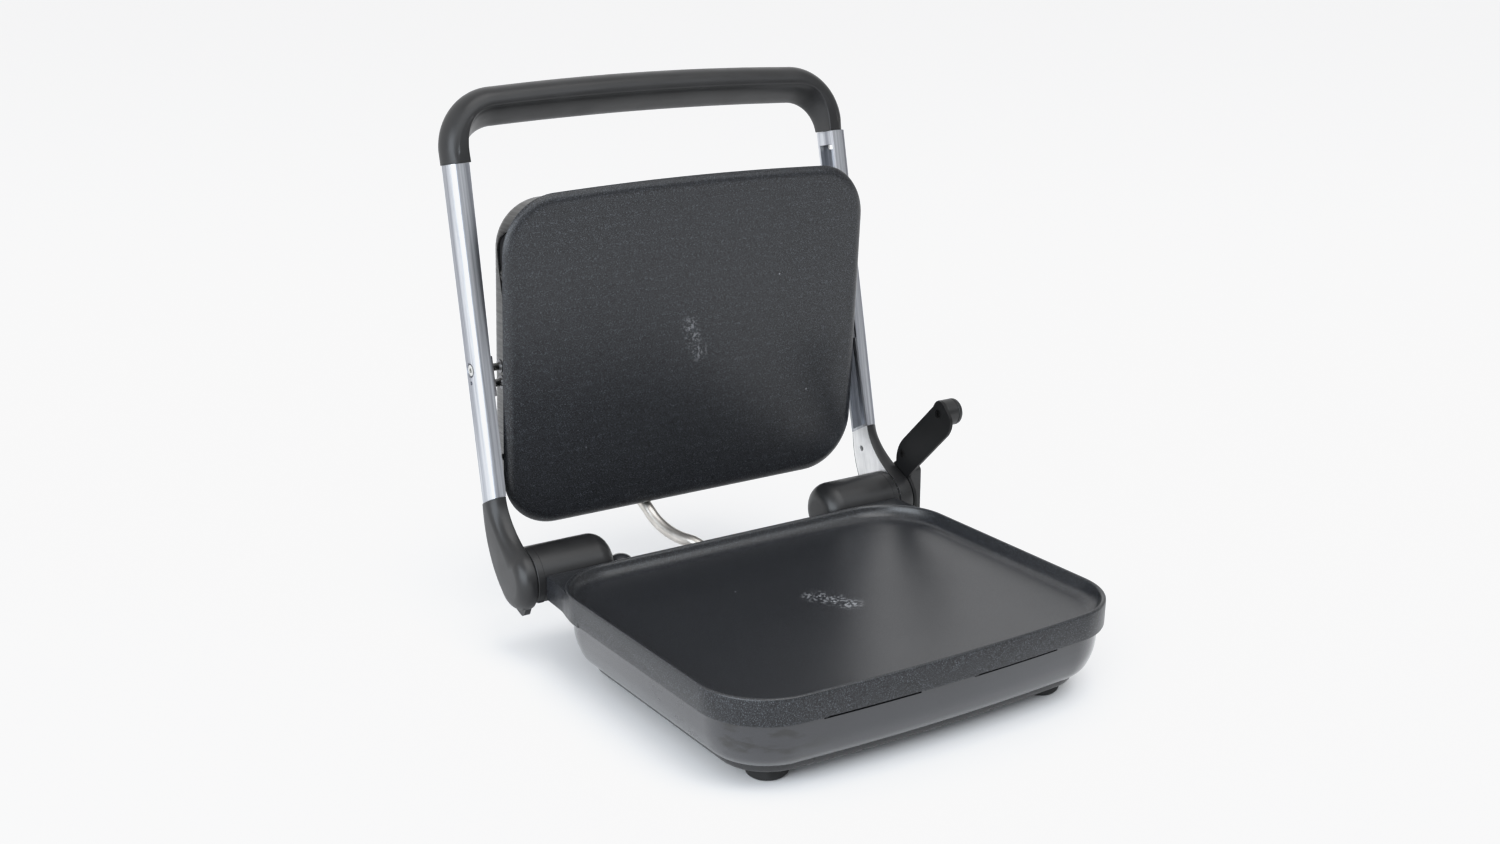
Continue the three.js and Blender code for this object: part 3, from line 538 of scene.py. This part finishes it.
STEEL = metal(
    "brushed_steel",
    (0.08, 0.08, 0.078),
    (0.135, 0.135, 0.133),
    (0.24, 0.36),
    (4, 20, 900), grain=0.01,
)
BRIGHT = metal(
    "bright_steel",
    (0.5, 0.5, 0.49),
    (0.72, 0.72, 0.7),
    (0.18, 0.3),
    (300, 300, 300), grain=0.01,
)
SPRING = metal(
    "spring_steel",
    (0.16, 0.16, 0.17),
    (0.3, 0.3, 0.31),
    (0.3, 0.45),
    (300, 300, 300),
)
CONDUIT = metal(
    "conduit_steel",
    (0.54, 0.515, 0.48),
    (0.68, 0.65, 0.61),
    (0.3, 0.4),
    (300, 40, 40),
)
SCREW_BLACK = metal(
    "blackened_steel",
    (0.03, 0.03, 0.03),
    (0.07, 0.07, 0.07),
    (0.25, 0.4),
    (300, 300, 300),
)
SHEATH = metal(
    "element_sheath",
    (0.12, 0.1, 0.085),
    (0.24, 0.2, 0.17),
    (0.4, 0.6),
    (80, 80, 80),
)


def ceramic():
    finish = Finish("ceramic", 0.7)
    finish.color(finish.ramp(finish.noise(200, 4.0), (0.3, (0.6, 0.56, 0.48)), (0.7, (0.78, 0.75, 0.68))))
    finish.bump(finish.noise(900, 3.0), 0.05)
    return finish.material


CERAMIC = ceramic()


# ---------------------------------------------------------------- base

LOWER_LOW, LOWER_HIGH = extent("lower_plate")
FRONT_BOW = 4
LOWER_PLAN = (LOWER_HIGH.x, -LOWER_LOW.y - FRONT_BOW, 52, FRONT_BOW)
RIM_TOP = LOWER_HIGH.z
SKIRT_BOTTOM = LOWER_LOW.z
RECESS_DEPTH = 10
RIM_WIDTH = 3.2
SLOT_STARTS = (-101, 20)
SLOT_LENGTH = 76
SLOT_FRONT = -150
SLOT_BACK = -120
HOUSING_TOP = 50


def lug(side):
    """Ear at a back corner that reaches the hinge barrel, a step below the rim."""
    low, high = extent(f"hinge_barrel_{'left' if side < 0 else 'right'}")
    inner = min(abs(low.x), abs(high.x)) - 3
    back = LOWER_HIGH.y
    neck = smooth_path(
        [(LOWER_HIGH.x - 0.3, 78), (LOWER_HIGH.x - 0.5, 88), (164.2, 99), (161.9, 110), (161, 122)], 6
    )
    outline = [(130, 78)] + [tuple(point) for point in neck] + [(160.5, back), (inner, back), (inner, 120)]
    return slab([(side * x, y) for x, y in outline], SKIRT_BOTTOM, RIM_TOP - 1.2, axis=2)


def lower_plate():
    floor = RIM_TOP - RECESS_DEPTH
    skirt = [
        (SKIRT_BOTTOM, 1.6),
        (SKIRT_BOTTOM + 0.3, 0.9),
        (SKIRT_BOTTOM + 1.3, 0.45),
        (RIM_TOP - 1.9, 0),
        (RIM_TOP - 1.0, 0.12),
        (RIM_TOP - 0.4, 0.45),
        (RIM_TOP - 0.08, 0.95),
        (RIM_TOP, 1.5),
    ]
    lip = [(RIM_TOP + 1, 1.6), (RIM_TOP - 0.12, 2.0), (RIM_TOP - 0.5, 2.8), (RIM_TOP - 1.2, 3.4)]
    slope = bezier((3.4, RIM_TOP - 1.2), (4.8, RIM_TOP - 6.5), (7.0, floor), (16.5, floor), 12)
    recess = lip + [(point.y, point.x) for point in slope[1:]]
    pocket = [(SKIRT_BOTTOM - 1, RIM_WIDTH), (SKIRT_BOTTOM + 4.2, RIM_WIDTH + 0.2)]
    made = plan_loft(LOWER_PLAN, skirt)
    join(made, lug(-1), lug(1))
    slots = [
        block((x, SLOT_FRONT, SKIRT_BOTTOM - 1), (x + SLOT_LENGTH, SLOT_BACK, SKIRT_BOTTOM + 0.9))
        for x in SLOT_STARTS
    ]
    cut(made, plan_loft(LOWER_PLAN, recess), plan_loft(LOWER_PLAN, pocket), *slots)
    outward = [
        face.index
        for face in made.data.polygons
        if face.normal.xy.length > 0.7
        and face.normal.xy.dot(face.center.xy) > 0
        and face.center.z < RIM_TOP - 1
    ]
    made = placed(made, "lower_plate_casting", "base", NONSTICK_LOWER, ["lower_plate"], sharp=38)
    made.data.materials.append(NONSTICK_SKIRT)
    for index in outward:
        made.data.polygons[index].material_index = 1
    return made


def housing(grow, low, high):
    """Block behind the shell that holds the wiring, below the hinge."""
    half = extent("bottom_cover")[1].y
    x = 112 + grow
    back = half + grow
    corner = 14 + grow
    outline = [(-x, 96), (x, 96)]
    outline += [(x - corner + p.x, back - corner + p.y) for p in arc(corner, 0, 90, 8)]
    outline += [(corner - x + p.x, back - corner + p.y) for p in arc(corner, 90, 180, 8)]
    return slab(outline, low, high, axis=2)


def cable_boss():
    """Round-topped boss on the rear housing, beside the left barrel."""
    radius = 10.5
    dome = 8
    top = extent("base_shell")[1].z + 3
    profile = [(radius, HOUSING_TOP - 0.3), (radius, top - dome)]
    for degrees in range(8, 89, 8):
        angle = math.radians(degrees)
        profile.append((radius * math.cos(angle), top - dome + dome * math.sin(angle)))
    return turned(profile, 2, (-87, 158))


def base_shell():
    parting = extent("base_shell")[0].z
    outside = [(parting, 18), (19.7, 14.6), (23.7, 10.9), (29, 8.4)]
    outside += [(35, 6.5), (42, 5.4), (49, 5.0), (56.6, 4.8)]
    inside = [(parting - 1, 23), (20.5, 18.6), (24.5, 14.2), (30, 11.1), (36, 9.2), (57.6, 7.4)]
    made = plan_loft(LOWER_PLAN, [tuple(p) for p in smooth_path(outside, 4)])
    join(made, housing(0, parting, HOUSING_TOP), cable_boss())
    gland = middle("cord_gland")
    low, high = extent("cord_gland")
    hole = rod((high.x - low.x) / 2 + 0.3, low.y - 2, high.y + 4, 1, (gland.x, gland.z))
    behind_slots = [
        block((x, SLOT_FRONT, SKIRT_BOTTOM - 2.8), (x + SLOT_LENGTH, SLOT_BACK, 58))
        for x in SLOT_STARTS
    ]
    wiring_space = housing(-WALL, parting - 1, HOUSING_TOP - WALL)
    cut(made, plan_loft(LOWER_PLAN, inside), wiring_space, hole, *behind_slots)
    return placed(made, "base_shell_moulding", "base", SHELL, ["base_shell"], bevel=0.5)


def bottom_cover():
    low, high = extent("bottom_cover")
    outside = [(high.z, 19.4), (14.2, 19.9), (11.8, 21.2), (10.4, 24.5), (low.z, 34)]
    inside = [(high.z + 1, 22.4), (14.2, 23.6), (12.4, 28), (11.8, 36)]
    made = plan_loft(LOWER_PLAN, [tuple(p) for p in smooth_path(outside, 4)])
    join(made, housing(0, low.z, high.z))
    cut(made, plan_loft(LOWER_PLAN, inside), housing(-WALL, 11.8, high.z + 1))
    return placed(made, "bottom_tray", "base", TRAY, ["bottom_cover"], bevel=0.5)


def foot(node):
    low, high = extent(node)
    centre = middle(node)
    radius = (high.x - low.x) / 2
    top = extent("bottom_cover")[0].z - 0.3
    stem = 4
    profile = [(radius - 5, low.z), (radius - 3.6, low.z + 0.15), (radius - 2, low.z + 0.8)]
    profile += [(radius - 0.8, low.z + 2), (radius - 0.2, low.z + 3.6), (radius, low.z + 5.4)]
    profile += [(radius, top - 0.8), (radius - 0.6, top), (stem, top), (stem, high.z)]
    made = turned(profile, 2, (centre.x, centre.y))
    return placed(made, f"{node}_rubber", "base", RUBBER, [node])


def barrel(word, side):
    node = f"hinge_barrel_{word}"
    low, high = extent(node)
    outer = max(abs(low.x), abs(high.x))
    inner = min(abs(low.x), abs(high.x))
    radius = high.z - HINGE.z
    dome = 14
    profile = [
        (radius - dome + dome * math.sin(a), -inner - dome + dome * math.cos(a)) for a in quarter(12)
    ]
    seam = -outer + 5.5
    profile += [(radius, seam + 0.2), (radius - 0.3, seam + 0.1), (radius - 0.3, seam), (radius, seam - 0.1)]
    profile += [(radius, -outer + 0.5), (radius - 0.5, -outer)]
    made = turned(profile, 0, (HINGE.y, HINGE.z), 96)
    keeper = block((-outer + 0.4, 140.6, low.z), (-outer + 5.2, 150, 71))
    join(made, keeper)
    below = block((-outer - 5, 120, low.z - 20), (0, 200, low.z))
    spring_space = rod(13, -outer - 1, -inner - dome, 0, HINGE.yz)
    cut(made, below, spring_space)
    return placed(mirrored(made, side), f"{node}_moulding", "base", BLACK, [node], bevel=0.3)


def quarter(steps):
    """Angles from 0 to a right angle, a little off 0."""
    return [math.radians(3 + 87 * i / steps) for i in range(steps + 1)]


def lever_housing():
    low, high = extent("lever_housing")
    outline = [(low.y, low.z), (high.y, low.z), (high.y, high.z - 8)]
    outline += [(high.y - 8 + p.x, high.z - 8 + p.y) for p in arc(8, 10, 90, 6)]
    outline += [(low.y + 4, high.z), (low.y, high.z - 4)]
    made = slab(outline, low.x, high.x)
    cut(made, rod(SHAFT_HOLE, low.x - 2, 195, 0, HINGE.yz))
    return placed(made, "lever_bearing_block", "base", BLACK, ["lever_housing"], bevel=1.6)


# ---------------------------------------------------------------- lid arms

ARM_LOW, ARM_HIGH = extent("arm_left", ARMS)
ARM_START = 60.8
ARM_END = -ARM_LOW.y
ARM_SLANT = 7
ARM_BOTTOM = 14.2
ARM_DEPTH = 23
INNER_X = (167, 162.5)
OUTER_X = (179.3, 178)
LUG_OUTSIDE = -170.8
LUG_INSIDE = -167.3
HANDLE_SCREW_X = 169.5
HANDLE_SCREW_Z = ARM_BOTTOM + 11.5
PIVOT = middle("pivot_pin_left", ARMS)


def along_arm(distance, values):
    share = (distance - ARM_START) / (ARM_END - ARM_START)
    return values[0] + (values[1] - values[0]) * share


def arm_ring(distance, outline, slant=0):
    inner = along_arm(distance, INNER_X)
    outer = along_arm(distance, OUTER_X)
    return [
        (-(inner + across * (outer - inner)), slant * up - distance, ARM_BOTTOM + up * ARM_DEPTH)
        for across, up in outline
    ]


def arm_outline():
    """D-shaped section: flat towards the plates, crowned outside."""
    crown = []
    for i in range(25):
        angle = math.radians(-90 + 180 * i / 24)
        up = math.copysign(abs(math.sin(angle)) ** 0.88, angle)
        out = 0.42 + 0.58 * math.cos(angle) ** 0.72 if abs(angle) < 1.57 else 0.42
        crown.append((out, 0.5 + 0.5 * up))
    return [(0, 0)] + crown + [(0, 1)]


def boot_outline(inset, disc_inset=None, reach=0, steps=14):
    """Side view of a boot: a neck that carries on from the arm, and a disc round the hinge.

    Reach carries the neck on past its end, for a cut that leaves the end open.
    """
    if disc_inset is None:
        disc_inset = inset
    end = 0.3 - ARM_START
    share = inset / ARM_DEPTH
    start = Vector((end + ARM_SLANT * share, ARM_BOTTOM + inset))
    top = Vector((end + ARM_SLANT * (1 - share), ARM_BOTTOM + ARM_DEPTH - inset))
    under = (-45, ARM_BOTTOM + inset)
    heel = (-29 + disc_inset, 2)
    rim = (-19.2 + disc_inset, -13.4 + disc_inset)
    neck = bezier(start, under, heel, rim, steps)
    disc = arc(23.4 - disc_inset, 215, 418, 2 * steps)
    back = bezier(disc[-1], (-10, 37 - disc_inset), (-33, 40 - inset), top, steps)
    outline = neck + disc[1:] + back[1:]
    if reach:
        outline = [start - Vector((reach, 0))] + outline + [top - Vector((reach, 0))]
    return [tuple(point) for point in outline]


def arm(word, side):
    """Aluminium casting, hollow towards the plates, with a lighter flat lug inside the boot."""
    node = f"arm_{word}"
    rings = [arm_ring(ARM_START, arm_outline(), ARM_SLANT)]
    rings += [arm_ring(distance, arm_outline()) for distance in (120, 180, 240, ARM_END)]
    made = loft(rings)
    channel = [(-0.2, 0.11), (0.5, 0.11), (0.68, 0.16), (0.76, 0.28)]
    channel += [(0.76, 0.72), (0.68, 0.84), (0.5, 0.89), (-0.2, 0.89)]
    cut(made, loft([arm_ring(63, channel, ARM_SLANT), arm_ring(296.5, channel)]))
    boss = rod(7, -176, -along_arm(-PIVOT.y, INNER_X) - 1.5, 0, PIVOT.yz)
    join(made, boss, arm_lug())
    cut(
        made,
        rod(PIN_HOLE, -171.3, -160, 0, PIVOT.yz),
        rod(2.9, -180, -170, 0, PIVOT.yz),
        turned([(4.6, -175.6), (4.9, -177.6), (6.2, -179.6)], 0, PIVOT.yz),
        rod(SHAFT_HOLE, -172, -166, 0, (0, 0)),
        turned([(2.2, -172), (2.2, -168), (3, -166)], 0, (-40.5, ARM_BOTTOM + 12)),
        rod(SCREW_HOLE, -ARM_END - 2, -294, 1, (-HANDLE_SCREW_X, HANDLE_SCREW_Z)),
        rod(1.5, -182, -177.6, 0, (PIVOT.y + 9.5, PIVOT.z)),
    )
    lug_faces = [face.index for face in made.data.polygons if face.center.y > -ARM_START]
    made = placed(mirrored(made, side), f"{node}_casting", "arms", ALUMINIUM, [node], ARMS, bevel=0.4)
    made.data.materials.append(LUG_METAL)
    for index in lug_faces:
        made.data.polygons[index].material_index = 1
    return made


def arm_lug():
    """Flat plate that carries the arm on the hinge shaft, set into the boot."""
    made = slab(boot_outline(0.9), LUG_OUTSIDE, LUG_INSIDE)
    low, high = ARM_BOTTOM + 1.4, ARM_BOTTOM + 20.6
    tongue = slab([(-62.5, low), (-50, low), (-50, high), (-56.5, high)], LUG_OUTSIDE, LUG_INSIDE)
    return join(made, tongue)


def boot_loft(levels, disc_share=1.0, reach=0):
    """Body between boot outlines; each level is (distance from the middle, inset)."""
    rings = []
    for x, inset in levels:
        outline = boot_outline(inset, inset * disc_share, reach)
        rings.append([(-x, y, z) for y, z in outline])
    return loft(rings)


def boot(word, side):
    """Black boot over the foot of an arm; the right one stays full at the disc, next to the lever."""
    node = f"arm_boot_{word}"
    low, high = extent(node, ARMS)
    outer = max(abs(low.x), abs(high.x))
    dome = [(outer - 10 * (1 - math.sin(a)), 10.5 * (1 - math.cos(a))) for a in quarter(10)]
    made = boot_loft([(167.2, 0.4), (167.5, 0.1), (168.2, 0)] + dome, 1.0 if side < 0 else 0.15)
    cut(made, boot_loft([(166, 0.6), (171.2, 0.7), (172, 2.9), (175, 4.4), (176.4, 6.8)], reach=5))
    fin = [(14, 13), (21.5, 11.6), (25.6, 5.4), (27.7, 0.8), (27, -2.4), (23.2, -6), (16, -11)]
    toe = slab([tuple(point) for point in smooth_path(fin, 5)], -172.5, -167.5)
    cut(toe, rod(20.6, -173, -166, 0, (0, 0)))
    join(made, toe)
    if side > 0:
        cut(made, rod(SHAFT_HOLE, -184, -170, 0, (0, 0)))
    return placed(mirrored(made, side), f"{node}_moulding", "arms", BLACK, [node], ARMS, bevel=0.5, sharp=50)


HANDLE_REACH = 132.5
GRIP_TOP = 366
CORNER_INSIDE = 28
CORNER_OUTSIDE = 46


def handle_station(x, angle):
    """Inner and outer point of the grip where its middle line has gone through angle."""
    bowed = 3.5 * (1 - (min(abs(x), HANDLE_REACH) / HANDLE_REACH) ** 2)
    inner_y = 306 + CORNER_INSIDE * math.sin(angle) + bowed * 0.8
    outer_y = GRIP_TOP - 49.5 + CORNER_OUTSIDE * math.sin(angle) + bowed
    inner = (x + CORNER_INSIDE * math.cos(angle), inner_y)
    outer = (x + CORNER_OUTSIDE * math.cos(angle), outer_y)
    return inner, outer


def grip_ring(station, taper, flip):
    """Section of the grip; taper is 0 on the legs and 1 along the top, bevelled there for fingers."""
    inner, outer = Vector(station[0]), Vector(station[1])
    width = (outer - inner).length
    across = (outer - inner) / width
    bevel = [(1.6 + 13.6 * taper, 0), (0.4 + 13.2 * taper, 0.3), (12.4 * taper, 1.5), (10.4 * taper, 3.4)]
    face = [(0.5 * width, 0.1), (width - 11, 0.3), (width - 6, 2.2), (width - 2.2, 6.6), (width, 13.5)]
    back = [(width - 0.8, 18.5), (width - 3.2, 22.2), (width - 7.5, 23.8), (0.4 * width, 24), (5, 24)]
    under = [(1.2, 23.2), (0, 21), (5 * taper, 11)]
    ring = []
    for point in smooth_path(bevel[:1] + face + back + under + bevel[:0:-1], 4, closed=True):
        spot = inner + across * point.x
        ring.append((flip * spot.x, -spot.y, ARM_BOTTOM + point.y))
    return ring


def handle():
    start = ARM_END + 0.3
    leg = ((HANDLE_REACH + CORNER_INSIDE, start), (HANDLE_REACH + CORNER_OUTSIDE, start))
    half = [(leg, 0.0)]
    for i in range(1, 25):
        share = min(i / 18, 1)
        taper = share * share * (3 - 2 * share)
        half.append((handle_station(HANDLE_REACH, math.radians(90 * i / 24)), taper))
    for share in (0.85, 0.7, 0.55, 0.4, 0.25, 0.12):
        half.append((handle_station(HANDLE_REACH * share, math.pi / 2), 1.0))
    rings = [grip_ring(station, taper, 1) for station, taper in half]
    rings.append(grip_ring(handle_station(0, math.pi / 2), 1.0, 1))
    rings += [grip_ring(station, taper, -1) for station, taper in reversed(half)]
    made = loft(rings)
    for side in (-1, 1):
        cut(made, rod(SCREW_HOLE, -320, -ARM_END + 2, 1, (side * HANDLE_SCREW_X, HANDLE_SCREW_Z)))
    return placed(made, "handle_grip", "arms", BLACK, ["handle"], ARMS, sharp=60)


# ---------------------------------------------------------------- lid

UPPER_LOW, UPPER_HIGH = extent("upper_plate", LID)
COVER_LOW, COVER_HIGH = extent("lid_cover", LID)
LID_BOW = 2.5
UPPER_PLAN = (UPPER_HIGH.x, UPPER_HIGH.y, 44, LID_BOW)
COVER_PLAN = (COVER_HIGH.x, COVER_HIGH.y, 36, LID_BOW)
STOP_PIN = middle("stop_pin_left", LID)
FLOAT_PIN = (3.0, 21.8)


def upper_plate():
    levels = [(0, 8.6), (0.12, 6.9), (0.45, 5.2), (1.0, 3.7), (1.7, 2.4), (2.5, 1.3), (3.4, 0.45), (4.3, 0)]
    levels += [(4.9, 0.3), (5.2, 1.0), (5.2, 15), (UPPER_HIGH.z, 17)]
    made = plan_loft(UPPER_PLAN, levels)
    return placed(made, "upper_plate_casting", "lid", NONSTICK_UPPER, ["upper_plate"], LID)


def pin_holes():
    return [rod(PIN_HOLE, -165, 165, 0, spot) for spot in (FLOAT_PIN, STOP_PIN.yz)]


def socket_hole():
    exit_point = middle("conduit_socket_lid", LID)
    return rod(9, 100, 130, 1, (exit_point.x, exit_point.z))


def lid_cover():
    top = COVER_HIGH.z
    roof = [(34, 0), (36.5, 0.3), (38.8, 1.2), (40.8, 3), (42.2, 5.6), (top, 9.5)]
    under = [(33.6, 1.4), (36.2, 1.7), (38.2, 2.6), (39.8, 4.2), (41, 6.6), (top - 1.4, 10.4)]
    made = plan_loft(COVER_PLAN, [(5.8, 0)] + roof)
    scoop = [(54, 5), (0, 17.5), (-28, 21.5), (-45, 24.6), (-62, 29), (-76, 32.4), (-86, 33.2), (-93, 30.6)]
    scoop += [(-99, 22.5), (-104, 13), (-108, 4)]
    curve = [tuple(point) for point in smooth_path(scoop, 4)] + [(-108, -4), (54, -4)]
    cut(made, plan_loft(COVER_PLAN, [(4, 1.4)] + under), slab(curve, -170, 170), socket_hole(), *pin_holes())
    cut(made, rod(2.6, -170, -140, 0, (78, 26)))
    return placed(made, "lid_cover_sheet", "lid", STEEL, ["lid_cover"], LID)


def lid_housing():
    low, high = extent("lid_housing", LID)
    made = plan_loft(COVER_PLAN, [(low.z, 1.9), (high.z, 1.9)])
    below = plan_loft(COVER_PLAN, [(low.z - 2, 4.4), (15.5, 4.4)])
    above = plan_loft(COVER_PLAN, [(18, 4.4), (high.z + 2, 4.4)])
    cut(made, below, above, socket_hole(), *pin_holes(), block((-24, 60, 12), (24, 100, 20)))
    for side in (-1, 1):
        cut(made, rod(SCREW_HOLE, side * 140, side * 152, 0, middle("lid_screw_left", LID).yz))
    return placed(made, "lid_inner_casing", "lid", BLACK, ["lid_housing"], LID, bevel=0.4)


# ---------------------------------------------------------------- conduit

CONDUIT_POINTS = (
    (-12.5, 148.6, 52.4),
    (-12.9, 149, 55.5),
    (-19, 160, 61.8),
    (-24.5, 174, 63.2),
    (-28, 187, 65.8),
    (-31, 200, 71.5),
    (-32.8, 211, 79.5),
    (-34.6, 221, 87),
    (-35.4, 226, 94),
    (-35.4, 227.2, 101),
)


def conduit():
    """Satin steel tube in two lengths, drawn as they stand at rest."""
    route = smooth_path(CONDUIT_POINTS, 8)
    split = next(i for i, point in enumerate(route) if point.y > extent("conduit_upper")[0].y + 4)
    first = tube(route[: split + 1], CONDUIT_RADIUS)
    lower = placed(first, "conduit_lower_tube", None, CONDUIT, ["conduit_lower"])
    second = tube(route[split:], CONDUIT_RADIUS)
    upper = placed(second, "conduit_upper_tube", None, CONDUIT, ["conduit_upper"])
    lengths = (
        (lower, "base", "arms", CONDUIT_POINTS[1], route[split]),
        (upper, "arms", "lid", route[split], CONDUIT_POINTS[-2]),
    )
    for length, before, after, start, end in lengths:
        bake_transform(length)


# ---------------------------------------------------------------- height lever


def lever():
    """Paddle in its own frame: Y along it, Z across it on the side away from the table."""
    low, high = extent("lever_arm", LEVER)
    inner, outer = low.x, high.x
    tip, side = high.y, low.z
    outline = [(6, -5.6), (90, -5.6)]
    outline += [tuple(p) for p in bezier((90, -5.6), (98, -6.4), (tip, -10), (tip, -18), 8)[1:]]
    outline += [(tip, -27)]
    corner = bezier((tip, -27), (tip - 0.3, -31), (tip - 2, side), (tip - 6, side), 6)
    outline += [tuple(p) for p in corner[1:]]
    outline += [(40, side)]
    outline += [tuple(p) for p in bezier((40, side), (28, side), (20, -28), (13.6, -18), 8)[1:]]
    made = slab(outline, inner, outer)
    join(made, rod(22.5, inner, outer, 0, (0, 0), 72))
    wells = []
    for name in ("lever_screw_knob", "lever_screw_hub"):
        spot = middle(name, LEVER)
        wells.append(rod(3.4, inner - 2, outer - 0.9, 0, spot.yz))
    cut(made, rod(SHAFT_HOLE, inner - 2, outer + 2, 0, (0, 0)), *wells)
    # The paddle's darker plastic carries painted shade as well as its own matte tone
    return placed(made, "lever_paddle", "lever", LEVER_BLACK_AND_SHADE, ["lever_arm"], LEVER, bevel=0.6)


def knob():
    spot = middle("lever_knob", LEVER)
    low, high = extent("lever_knob", LEVER)
    cap_low, cap_high = extent("lever_knob_cap", LEVER)
    radius = (high.y - low.y) / 2
    body_profile = [(radius - 0.4, low.x), (radius, low.x + 0.5), (radius, high.x - 0.3)]
    body_profile.append((radius - 0.3, high.x))
    body = turned(body_profile, 0, spot.yz)
    profile = [(radius - 0.3, cap_low.x), (radius, cap_low.x + 0.3)]
    reach = cap_high.x - cap_low.x - 1.5
    profile += [
        (radius - 4 * (1 - math.cos(a)), cap_low.x + 1.5 + reach * math.sin(a)) for a in quarter(8)
    ]
    cap = turned(profile, 0, spot.yz)
    placed(body, "lever_knob_body", "lever", BLACK, ["lever_knob"], LEVER)
    placed(cap, "lever_knob_end", "lever", BLACK, ["lever_knob_cap"], LEVER)


# ---------------------------------------------------------------- carried-over nodes

CARRIED = {
    BRIGHT: ("hinge_shaft", "pivot_pin", "pivot_screw", "handle_screw", "stop_pin",
             "conduit_socket", "lower_thermostat", "upper_fuse"),
    SPRING: ("hinge_spring", "pivot_clip", "stop_clip", "float_bracket"),
    SHEATH: ("lower_element", "upper_element"),
    SCREW_BLACK: ("lever_screw", "lid_screw"),
    CERAMIC: ("terminal_block",),
    RUBBER: ("cord_gland",),
}


def carry_over():
    """CAD nodes whose shape is right keep it and get their finish."""
    for finish, starts in CARRIED.items():
        for name, node in frame["nodes"].items():
            if name.startswith(starts):
                node.data.materials.clear()
                node.data.materials.append(finish)
                node.data.shade_smooth()
                node.data.set_sharp_from_angle(angle=math.radians(30))


# ---------------------------------------------------------------- stage


def floor():
    made = block((-14000, -14000, -20), (14000, 14000, -0.05))
    made.data.transform(Matrix.Scale(MM, 4))
    made.name = "studio_floor"
    finish = Finish("studio_floor", 0.9, specular=0.1)
    finish.shader.inputs["Base Color"].default_value = (0.9, 0.9, 0.905, 1)
    made.data.materials.append(finish.material)


def area_light(name, place, target, size, power, color):
    data = bpy.data.lights.new(name, "AREA")
    data.shape = "RECTANGLE"
    data.size, data.size_y = size
    data.energy = power
    data.color = color
    made = bpy.data.objects.new(name, data)
    made.location = place
    made.rotation_euler = (Vector(target) - Vector(place)).to_track_quat("-Z", "Y").to_euler()
    bpy.context.scene.collection.objects.link(made)


def studio():
    """White surroundings, a window-like light low on the left, one above the front and one overhead."""
    world = bpy.data.worlds.new("studio")
    world.use_nodes = True
    tree = world.node_tree
    background = tree.nodes["Background"]
    background.inputs["Color"].default_value = (0.985, 0.99, 1.0, 1)
    side = tree.nodes.new("ShaderNodeVectorMath")
    side.operation = "DOT_PRODUCT"
    side.inputs[1].default_value = (-0.55, 0.83, 0)
    tree.links.new(tree.nodes.new("ShaderNodeTexCoord").outputs["Generated"], side.inputs[0])
    strength = tree.nodes.new("ShaderNodeMapRange")
    tree.links.new(side.outputs["Value"], strength.inputs["Value"])
    for socket, value in (("From Min", -0.8), ("From Max", 0.5), ("To Min", 0.38), ("To Max", 1.05)):
        strength.inputs[socket].default_value = value
    tree.links.new(strength.outputs["Result"], background.inputs["Strength"])
    plain = tree.nodes.new("ShaderNodeBackground")
    plain.inputs["Color"].default_value = (0.98, 0.985, 0.99, 1)
    seen = tree.nodes.new("ShaderNodeMixShader")
    tree.links.new(tree.nodes.new("ShaderNodeLightPath").outputs["Is Camera Ray"], seen.inputs["Fac"])
    tree.links.new(background.outputs["Background"], seen.inputs[1])
    tree.links.new(plain.outputs["Background"], seen.inputs[2])
    tree.links.new(seen.outputs["Shader"], tree.nodes["World Output"].inputs["Surface"])
    bpy.context.scene.world = world
    area_light("window_left", (-2.9, -1.4, 1.15), (0, 0, 0.1), (3.4, 2.2), 96, (0.84, 0.92, 1.0))
    area_light("front_top", (0.2, -2.4, 2.4), (0, 0, 0.2), (4.4, 1.3), 36, (0.92, 0.96, 1.0))
    overhead_light()
    soften_highlights(bpy.context.scene.view_settings)


def overhead_light():
    """Broad soft light from above, a little from the front."""
    data = bpy.data.lights.new("overhead", "SUN")
    data.energy = 1.0
    data.angle = math.radians(42)
    made = bpy.data.objects.new("overhead", data)
    made.rotation_euler = Vector((0.12, -0.32, 0.85)).to_track_quat("Z", "Y").to_euler()
    bpy.context.scene.collection.objects.link(made)


def soften_highlights(view):
    """White surroundings stay just below pure white, as on film."""
    view.view_transform = "Standard"
    view.use_curve_mapping = True
    mapping = view.curve_mapping
    mapping.clip_max_x = 3
    curve = mapping.curves[3]
    curve.points[1].location = (3.0, 0.955)
    for place in ((0.5, 0.5), (0.75, 0.76), (0.95, 0.905), (1.3, 0.945)):
        curve.points.new(*place)
    mapping.update()


def camera():
    """Seen from the front left, from higher than the handle."""
    data = bpy.data.cameras.new("camera")
    data.sensor_width = 36
    data.lens = CAMERA_LENS
    data.clip_end = 60
    made = bpy.data.objects.new("camera", data)
    azimuth, elevation = math.radians(CAMERA_AZIMUTH), math.radians(CAMERA_ELEVATION)
    level = math.cos(elevation)
    away = Vector((math.sin(azimuth) * level, -math.cos(azimuth) * level, math.sin(elevation)))
    made.location = (PRESS @ Vector(CAMERA_AT)) * MM
    made.rotation_euler = away.to_track_quat("Z", "Y").to_euler()
    bpy.context.scene.collection.objects.link(made)
    bpy.context.scene.camera = made


# ---------------------------------------------------------------- the press

camera()
studio()
floor()
lower_plate()
base_shell()
bottom_cover()
for foot_node in ("foot_front_left", "foot_front_right", "foot_rear_left", "foot_rear_right"):
    foot(foot_node)
for side_word, side_sign in SIDES:
    barrel(side_word, side_sign)
    arm(side_word, side_sign)
    boot(side_word, side_sign)
lever_housing()
handle()
upper_plate()
lid_cover()
lid_housing()
conduit()
lever()
knob()
carry_over()
